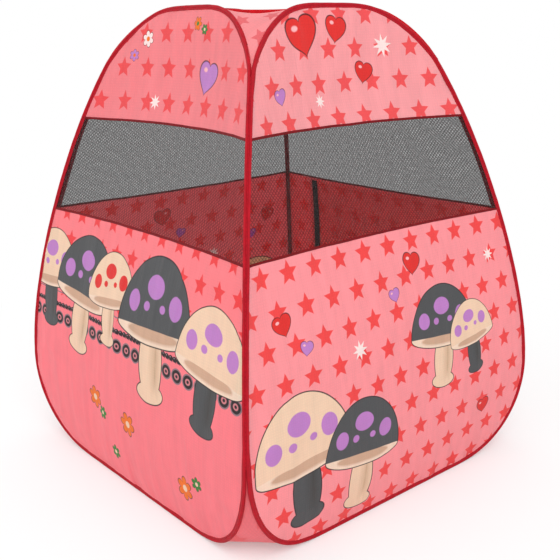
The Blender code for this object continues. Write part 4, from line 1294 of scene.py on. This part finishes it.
class PLAYTENT_OT_roof(bpy.types.Operator):
    """Add the two halves of the roof and the bound seam that stands between them"""

    bl_idname = "playtent.roof"
    bl_label = "Roof"

    def execute(self, context):
        settings = context.scene.play_tent.cloth
        cloth = printed_cloth("Printed polyester roof", settings, "FA9EA2", "EC7076", ROOF_STARS)

        def lift(x, y, across, along):
            free = settings.crease_depth * (1 - np.abs(across) ** 6) * (1 - np.abs(along) ** 6)
            broad, fine = soft_noise(x, y, 0.09, ROOF_SEED), soft_noise(x, y, 0.03, ROOF_SEED + 1)
            return free * (0.0018 * broad + 0.0008 * fine)

        for half in HALVES:
            mesh = half_sheet_mesh(f"roof_{half[0]}", half[1], roof_height, 96, lift, BINDING_HALF_THICKNESS)
            half_sheet("roof", half, cloth, mesh, f"roof_{half[0]}_panel")
        self.add_seam()
        return {"FINISHED"}

    def add_seam(self):
        stitch = ([ROOF_STITCHES], STITCH_LENGTH)
        tape = bound_tape("Crimson roof seam binding", "C6111E", "8C0610", TAPE_RIB, 0.62, stitch)
        share = np.linspace(-1, 1, 150)
        middles = on_sheet(share, share, roof_height(share, share))
        run = unit(np.gradient(middles, axis=0))
        side = np.tile(np.array([1, -1, 0]) / math.sqrt(2), (share.size, 1))
        rise = np.cross(run, side)
        rise *= np.sign(rise[:, 2:3])
        along = run_length(middles)
        sway = 0.0008 * soft_noise(along, 0, 0.030, ROOF_SEED + 20) * ease((1 - np.abs(share)) / 0.1)
        half_height = BINDING_HEIGHT / 2
        centres = middles + rise * (half_height - BINDING_ROOT) + side * sway[:, None]
        section = round_section(half_height, BINDING_HALF_THICKNESS)
        mesh = loft_mesh("roof_seam", "front", centres, rise, side, section, along)
        piece = add_piece("roof_seam_tape", mesh, tape, replaces=["roof_seam_binding"])
        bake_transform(piece)


class PLAYTENT_OT_floor(bpy.types.Operator):
    """Add the floor, whose corners rise to the foot of the corner seams"""

    bl_idname = "playtent.floor"
    bl_label = "Floor"

    def execute(self, context):
        settings = context.scene.play_tent.cloth
        cloth = printed_cloth("Printed polyester floor", settings, "F57F87", "F26A70", FLOOR_STARS)

        def lift(x, y, across, along):
            free = settings.crease_depth * (1 - np.abs(across) ** 8) * (1 - np.abs(along) ** 8)
            corner = free * ease((np.abs(across * along) - 0.4) / 0.3)
            return corner * 0.0016 * soft_noise(x * 1.5, y * 1.5, 0.05, FLOOR_SEED)

        for half in HALVES:
            mesh = half_sheet_mesh(f"floor_{half[0]}", half[1], floor_height, 110, lift, 0)
            half_sheet("floor", half, cloth, mesh, "floor_sheet")
        return {"FINISHED"}


# Door


def strip_mesh(name, place, spacing=0.006):
    low, high = DOORWAY_SILL + STRIP_END_SPACE, DOORWAY_TOP + DOOR_HEAD_LAP
    z = np.linspace(low, high, round((high - low) / spacing) + 1)[:, None]
    share = np.linspace(0, 1, 7)[None, :]
    x = doorway_seam(z) + STRIP_ROOT - STRIP_WIDTH * (1 - share)
    z = z + 0 * share
    rounded = 0.00012 * (1 - np.abs(2 * share - 1) ** 4)
    return grid_mesh(name, turned(on_wall(x, z, place + rounded), "back"), np.stack([x, z], -1))


class PLAYTENT_OT_door(bpy.types.Operator):
    """Add the curtain door with its hook and loop strips, tie tape and toggle"""

    bl_idname = "playtent.door"
    bl_label = "Door"

    def execute(self, context):
        self.add_flap(context.scene.play_tent.cloth)
        for part, body, place, colour, spot in (
            ("hook", "back", HOOK_PLACE, "121012", 0.0022),
            ("loop", "door", LOOP_PLACE, "181517", 0.0035),
        ):
            tape = napped_tape(f"Black nylon {part} tape", colour, spot)
            stood_for = [f"door_{part}_strip"]
            mesh = strip_mesh(part, place)
            add_piece(f"door_{part}_tape", mesh, tape, body, stood_for, STRIP_THICKNESS)
        self.add_tie()
        self.add_toggle()
        return {"FINISHED"}

    def add_flap(self, settings):
        """The flap laps the doorway and hangs in soft folds that gather towards its sewn side."""
        inks = "FF9599", "FA4E4E", LOWER_STARS, BACK_LOWER_MOTIFS
        cloth = printed_cloth("Printed polyester door", settings, *inks)
        low, high = DOORWAY_SILL - DOOR_LAP, DOORWAY_TOP + DOOR_HEAD_LAP
        z = np.linspace(low, high, round((high - low) / settings.spacing) + 1)[:, None]
        share = np.linspace(0, 1, 150)[None, :]
        start, end = doorway_hinge(z) - DOOR_LAP, doorway_seam(z) + STRIP_WIDTH / 2
        x = start + (end - start) * share
        place = FLAP_SEWN_PLACE + (FLAP_CLOSED_PLACE - FLAP_SEWN_PLACE) * share
        drift = share + 0.03 * soft_noise(z, 0, 0.20, FLAP_SEED)
        wave = (1 - np.cos(2 * math.pi * DOOR_FOLDS * drift)) / 2
        wave *= 0.6 + 0.4 * soft_noise(z, share * 2, 0.4, FLAP_SEED + 1)
        held = np.sin(math.pi * share) ** 0.8
        slack = held * (0.0050 * wave + 0.0010 * (1 + soft_noise(x, z, 0.05, FLAP_SEED + 2)))
        z = z + 0 * x
        points, plain = on_wall(x, z, place + np.maximum(slack, 0)), on_wall(x, z)
        mesh = grid_mesh("door_flap", turned(points, "back"), np.stack([x, z], -1))
        piece = add_piece("door_flap_cloth", mesh, cloth, "door", ["door_flap"], FLAP_THICKNESS)

    def add_tie(self):
        """A short woven tape sewn on beside the doorway."""
        tape = bound_tape("Red twill tie tape", "C2162C", "7E0A1A", TWILL_RIB, 0.7)
        z = np.linspace(TIE_TOP_HEIGHT, TIE_TOP_HEIGHT - TIE_LENGTH, 26)[:, None]
        x = float(doorway_hinge(TIE_TOP_HEIGHT)) - TIE_OFFSET + TIE_WIDTH * np.linspace(-0.5, 0.5, 7)[None, :]
        x, z = x + 0 * z, z + 0 * x
        bend = 0.0006 * np.sin((z - TIE_TOP_HEIGHT) / TIE_LENGTH * 2 * math.pi) ** 2
        mesh = grid_mesh("tie", turned(on_wall(x, z, HOOK_PLACE + bend), "back"), np.stack([z, x], -1))
        add_piece("door_tie_tape_woven", mesh, tape, "back", ["door_tie_tape"], TIE_THICKNESS)

    def add_toggle(self):
        """The toggle at the lower end of the tie: a waisted barrel with rounded ends."""
        place = float(doorway_hinge(TIE_TOP_HEIGHT)) - TIE_OFFSET, TIE_TOP_HEIGHT - TIE_LENGTH + TOGGLE_RADIUS
        centre = Vector(turned(on_wall(*place, HOOK_PLACE + TOGGLE_SPACE + TOGGLE_RADIUS), "back"))
        shares = np.linspace(-1, 1, 33)
        radius = TOGGLE_RADIUS * (1 - np.abs(shares) ** 8) ** 0.5
        radius *= 1 - 0.14 * np.exp(-((shares / 0.12) ** 2))
        radius *= 1 - 0.05 * np.cos(shares * 18) ** 8
        along, turn = np.meshgrid(shares * TOGGLE_LENGTH / 2, np.linspace(0, 2 * math.pi, 29), indexing="ij")
        radii = np.maximum(radius, 1e-5)[:, None]
        points = np.stack([along, radii * np.cos(turn), radii * np.sin(turn)], -1) + np.array(centre)
        mesh = grid_mesh("toggle", points, np.stack([along, turn * TOGGLE_RADIUS], -1))
        close_mesh(mesh, 2e-5, True)
        add_piece("door_tie_toggle", mesh, moulded_toggle(), "back", ["door_toggle"])


class PLAYTENT_OT_hoops(bpy.types.Operator):
    """Give the wire hoops and their ferrules their metals"""

    bl_idname = "playtent.hoops"
    bl_label = "Wire hoops"

    def execute(self, context):
        wire = drawn_metal("Drawn spring steel wire", "9A9CA0", "6E7074", 0.36, 0.0012)
        ferrule = drawn_metal("Zinc plated crimped ferrule", "C6CACE", "989CA2", 0.42, 0.0020)
        parts = (("hoop_wire", wire, "spring_steel"), ("wire_ferrule", ferrule, "zinc_plated_ferrule"))
        for wall in WALLS:
            for part, material, slot in parts:
                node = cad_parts[f"{wall}_{part}"]
                node.data.materials.clear()
                node.data.materials.append(material)
        return {"FINISHED"}


# Stage

GROUND_RADIUS = 30
GROUND_DROP = 0.0002
KEY_PLACE = (2.6, -1.6, 3.0)
FILL_PLACE = (-2.6, -2.4, 1.8)
CAMERA_PLACE = (1.3265, -1.1047, 0.8589)
CAMERA_WAY = (-0.73244, 0.62014, -0.28098)
CAMERA_ROLL = math.radians(-0.873)
CAMERA_LENS = 55.39
LAMP_TARGET = Vector((0, 0, 0.4))
LAMP_SIZE = 2.4


def add_lamp(name, place, power):
    light = bpy.data.lights.new(name, "AREA")
    light.energy = power
    light.shape = "DISK"
    light.size = LAMP_SIZE
    lamp = bpy.data.objects.new(name, light)
    lamp.location = place
    lamp.rotation_euler = (LAMP_TARGET - Vector(place)).to_track_quat("-Z", "Y").to_euler()
    bpy.context.scene.collection.objects.link(lamp)


def seen_directly(add):
    """1 for the rays that the eye follows, straight, mirrored or through, and 0 for those that light."""
    path = add("LightPath", out=None).outputs
    return joined(add, [path[f"Is {way} Ray"] for way in ("Camera", "Glossy", "Transmission")], "MAXIMUM")


class PLAYTENT_OT_stage(bpy.types.Operator):
    """Add the pale studio floor, the soft lamps and the camera"""

    bl_idname = "playtent.stage"
    bl_label = "Stage"

    def execute(self, context):
        settings = context.scene.play_tent.stage
        self.add_floor(settings)
        self.set_sky(context.scene, settings)
        add_lamp("Key lamp", KEY_PLACE, settings.key_power)
        add_lamp("Fill lamp", FILL_PLACE, settings.fill_power)
        self.add_camera(context.scene)
        context.scene.view_settings.view_transform = "Standard"
        return {"FINISHED"}

    def add_floor(self, settings):
        """A disc of matt white board, lifted to plain white for the eye away from the tent."""
        mesh = bpy.data.meshes.new("studio_floor")
        work = bmesh.new()
        bmesh.ops.create_circle(work, cap_ends=True, radius=GROUND_RADIUS, segments=96)
        work.to_mesh(mesh)
        work.free()
        floor = bpy.data.objects.new("studio_floor", mesh)
        floor.location.z = -GROUND_DROP
        bpy.context.scene.collection.objects.link(floor)
        material, add = new_material("Matt white studio floor")
        place = add("TexCoord", out="Object")
        grain = add("TexNoise", {"Vector": place, "Scale": 180.0, "Detail": 2.0})
        tone = add("MapRange", grain, 0.0, 1.0, 0.98, 1.0)
        ground = {0: 1.0, 6: (*settings.ground_colour, 1), 7: tone}
        colour = add("Mix", ground, out=2, data_type="RGBA", blend_type="MULTIPLY")
        white = add("Emission", {"Color": (1, 1, 1, 1), "Strength": 1.0})
        size = add("VectorMath", place, out="Value", operation="LENGTH")
        seen = seen_directly(add)
        shader = add("BsdfDiffuse", colour)
        # The first lift leaves the contact shadow under the tent, the second ends in white past it
        for reach in ((0.42, 0.60, 0.28, 0.58), (0.6, 1.3)):
            lift = add("Math", add("MapRange", size, *reach), seen, operation="MULTIPLY")
            shader = add("MixShader", lift, shader, white)
        add("OutputMaterial", shader, out=None)
        mesh.materials.append(material)

    def set_sky(self, scene, settings):
        scene.world = bpy.data.worlds.new("Soft white studio")
        scene.world.use_nodes = True
        scene.world.node_tree.nodes.clear()
        add = partial(add_node, scene.world.node_tree)
        strength = add("MapRange", seen_directly(add), 0.0, 1.0, settings.sky, 1.0)
        add("OutputWorld", add("Background", {"Color": (1, 1, 1, 1), "Strength": strength}), out=None)

    def add_camera(self, scene):
        camera = bpy.data.cameras.new("Photo camera")
        camera.lens = CAMERA_LENS
        camera.sensor_width = 36
        camera.sensor_fit = "HORIZONTAL"
        item = bpy.data.objects.new("Photo camera", camera)
        forward = Vector(CAMERA_WAY).normalized()
        right = forward.cross(Vector((0, 0, 1))).normalized()
        up = right.cross(forward)
        cosine, sine = math.cos(CAMERA_ROLL), math.sin(CAMERA_ROLL)
        right, up = right * cosine + up * sine, up * cosine - right * sine
        turn = Matrix((right, up, -forward)).transposed().to_4x4()
        item.matrix_world = Matrix.Translation(CAMERA_PLACE) @ turn
        scene.collection.objects.link(item)
        scene.camera = item


PIECE_OPERATORS = (
    PLAYTENT_OT_hoops,
    PLAYTENT_OT_sleeves,
    PLAYTENT_OT_corner_seams,
    PLAYTENT_OT_wall_cloth,
    PLAYTENT_OT_windows,
    PLAYTENT_OT_hems,
    PLAYTENT_OT_roof,
    PLAYTENT_OT_floor,
    PLAYTENT_OT_door,
    PLAYTENT_OT_stage,
)


class PLAYTENT_PT_panel(bpy.types.Panel):
    """Lists the tent's settings and pieces in the sidebar"""

    bl_idname = "PLAYTENT_PT_panel"
    bl_label = "Play Tent"
    bl_space_type = "VIEW_3D"
    bl_region_type = "UI"
    bl_category = "Play Tent"

    def draw(self, context):
        tent = context.scene.play_tent
        for group in (tent.cloth, tent.net, tent.sleeve, tent.stage):
            box = self.layout.box()
            for name in group.bl_rna.properties.keys():
                if name not in ("rna_type", "name"):
                    box.prop(group, name)
        for operator in PIECE_OPERATORS:
            self.layout.operator(operator.bl_idname)


CLASSES = (
    ClothSettings,
    NetSettings,
    SleeveSettings,
    StageSettings,
    TentSettings,
    *PIECE_OPERATORS,
    PLAYTENT_PT_panel,
)


def register():
    for item in CLASSES:
        bpy.utils.register_class(item)
    bpy.types.Scene.play_tent = PointerProperty(type=TentSettings)


def unregister():
    del bpy.types.Scene.play_tent
    for item in reversed(CLASSES):
        bpy.utils.unregister_class(item)


def main():
    register()
    for operator in PIECE_OPERATORS:
        family, name = operator.bl_idname.split(".")
        getattr(getattr(bpy.ops, family), name)()


if __name__ == "__main__":
    main()
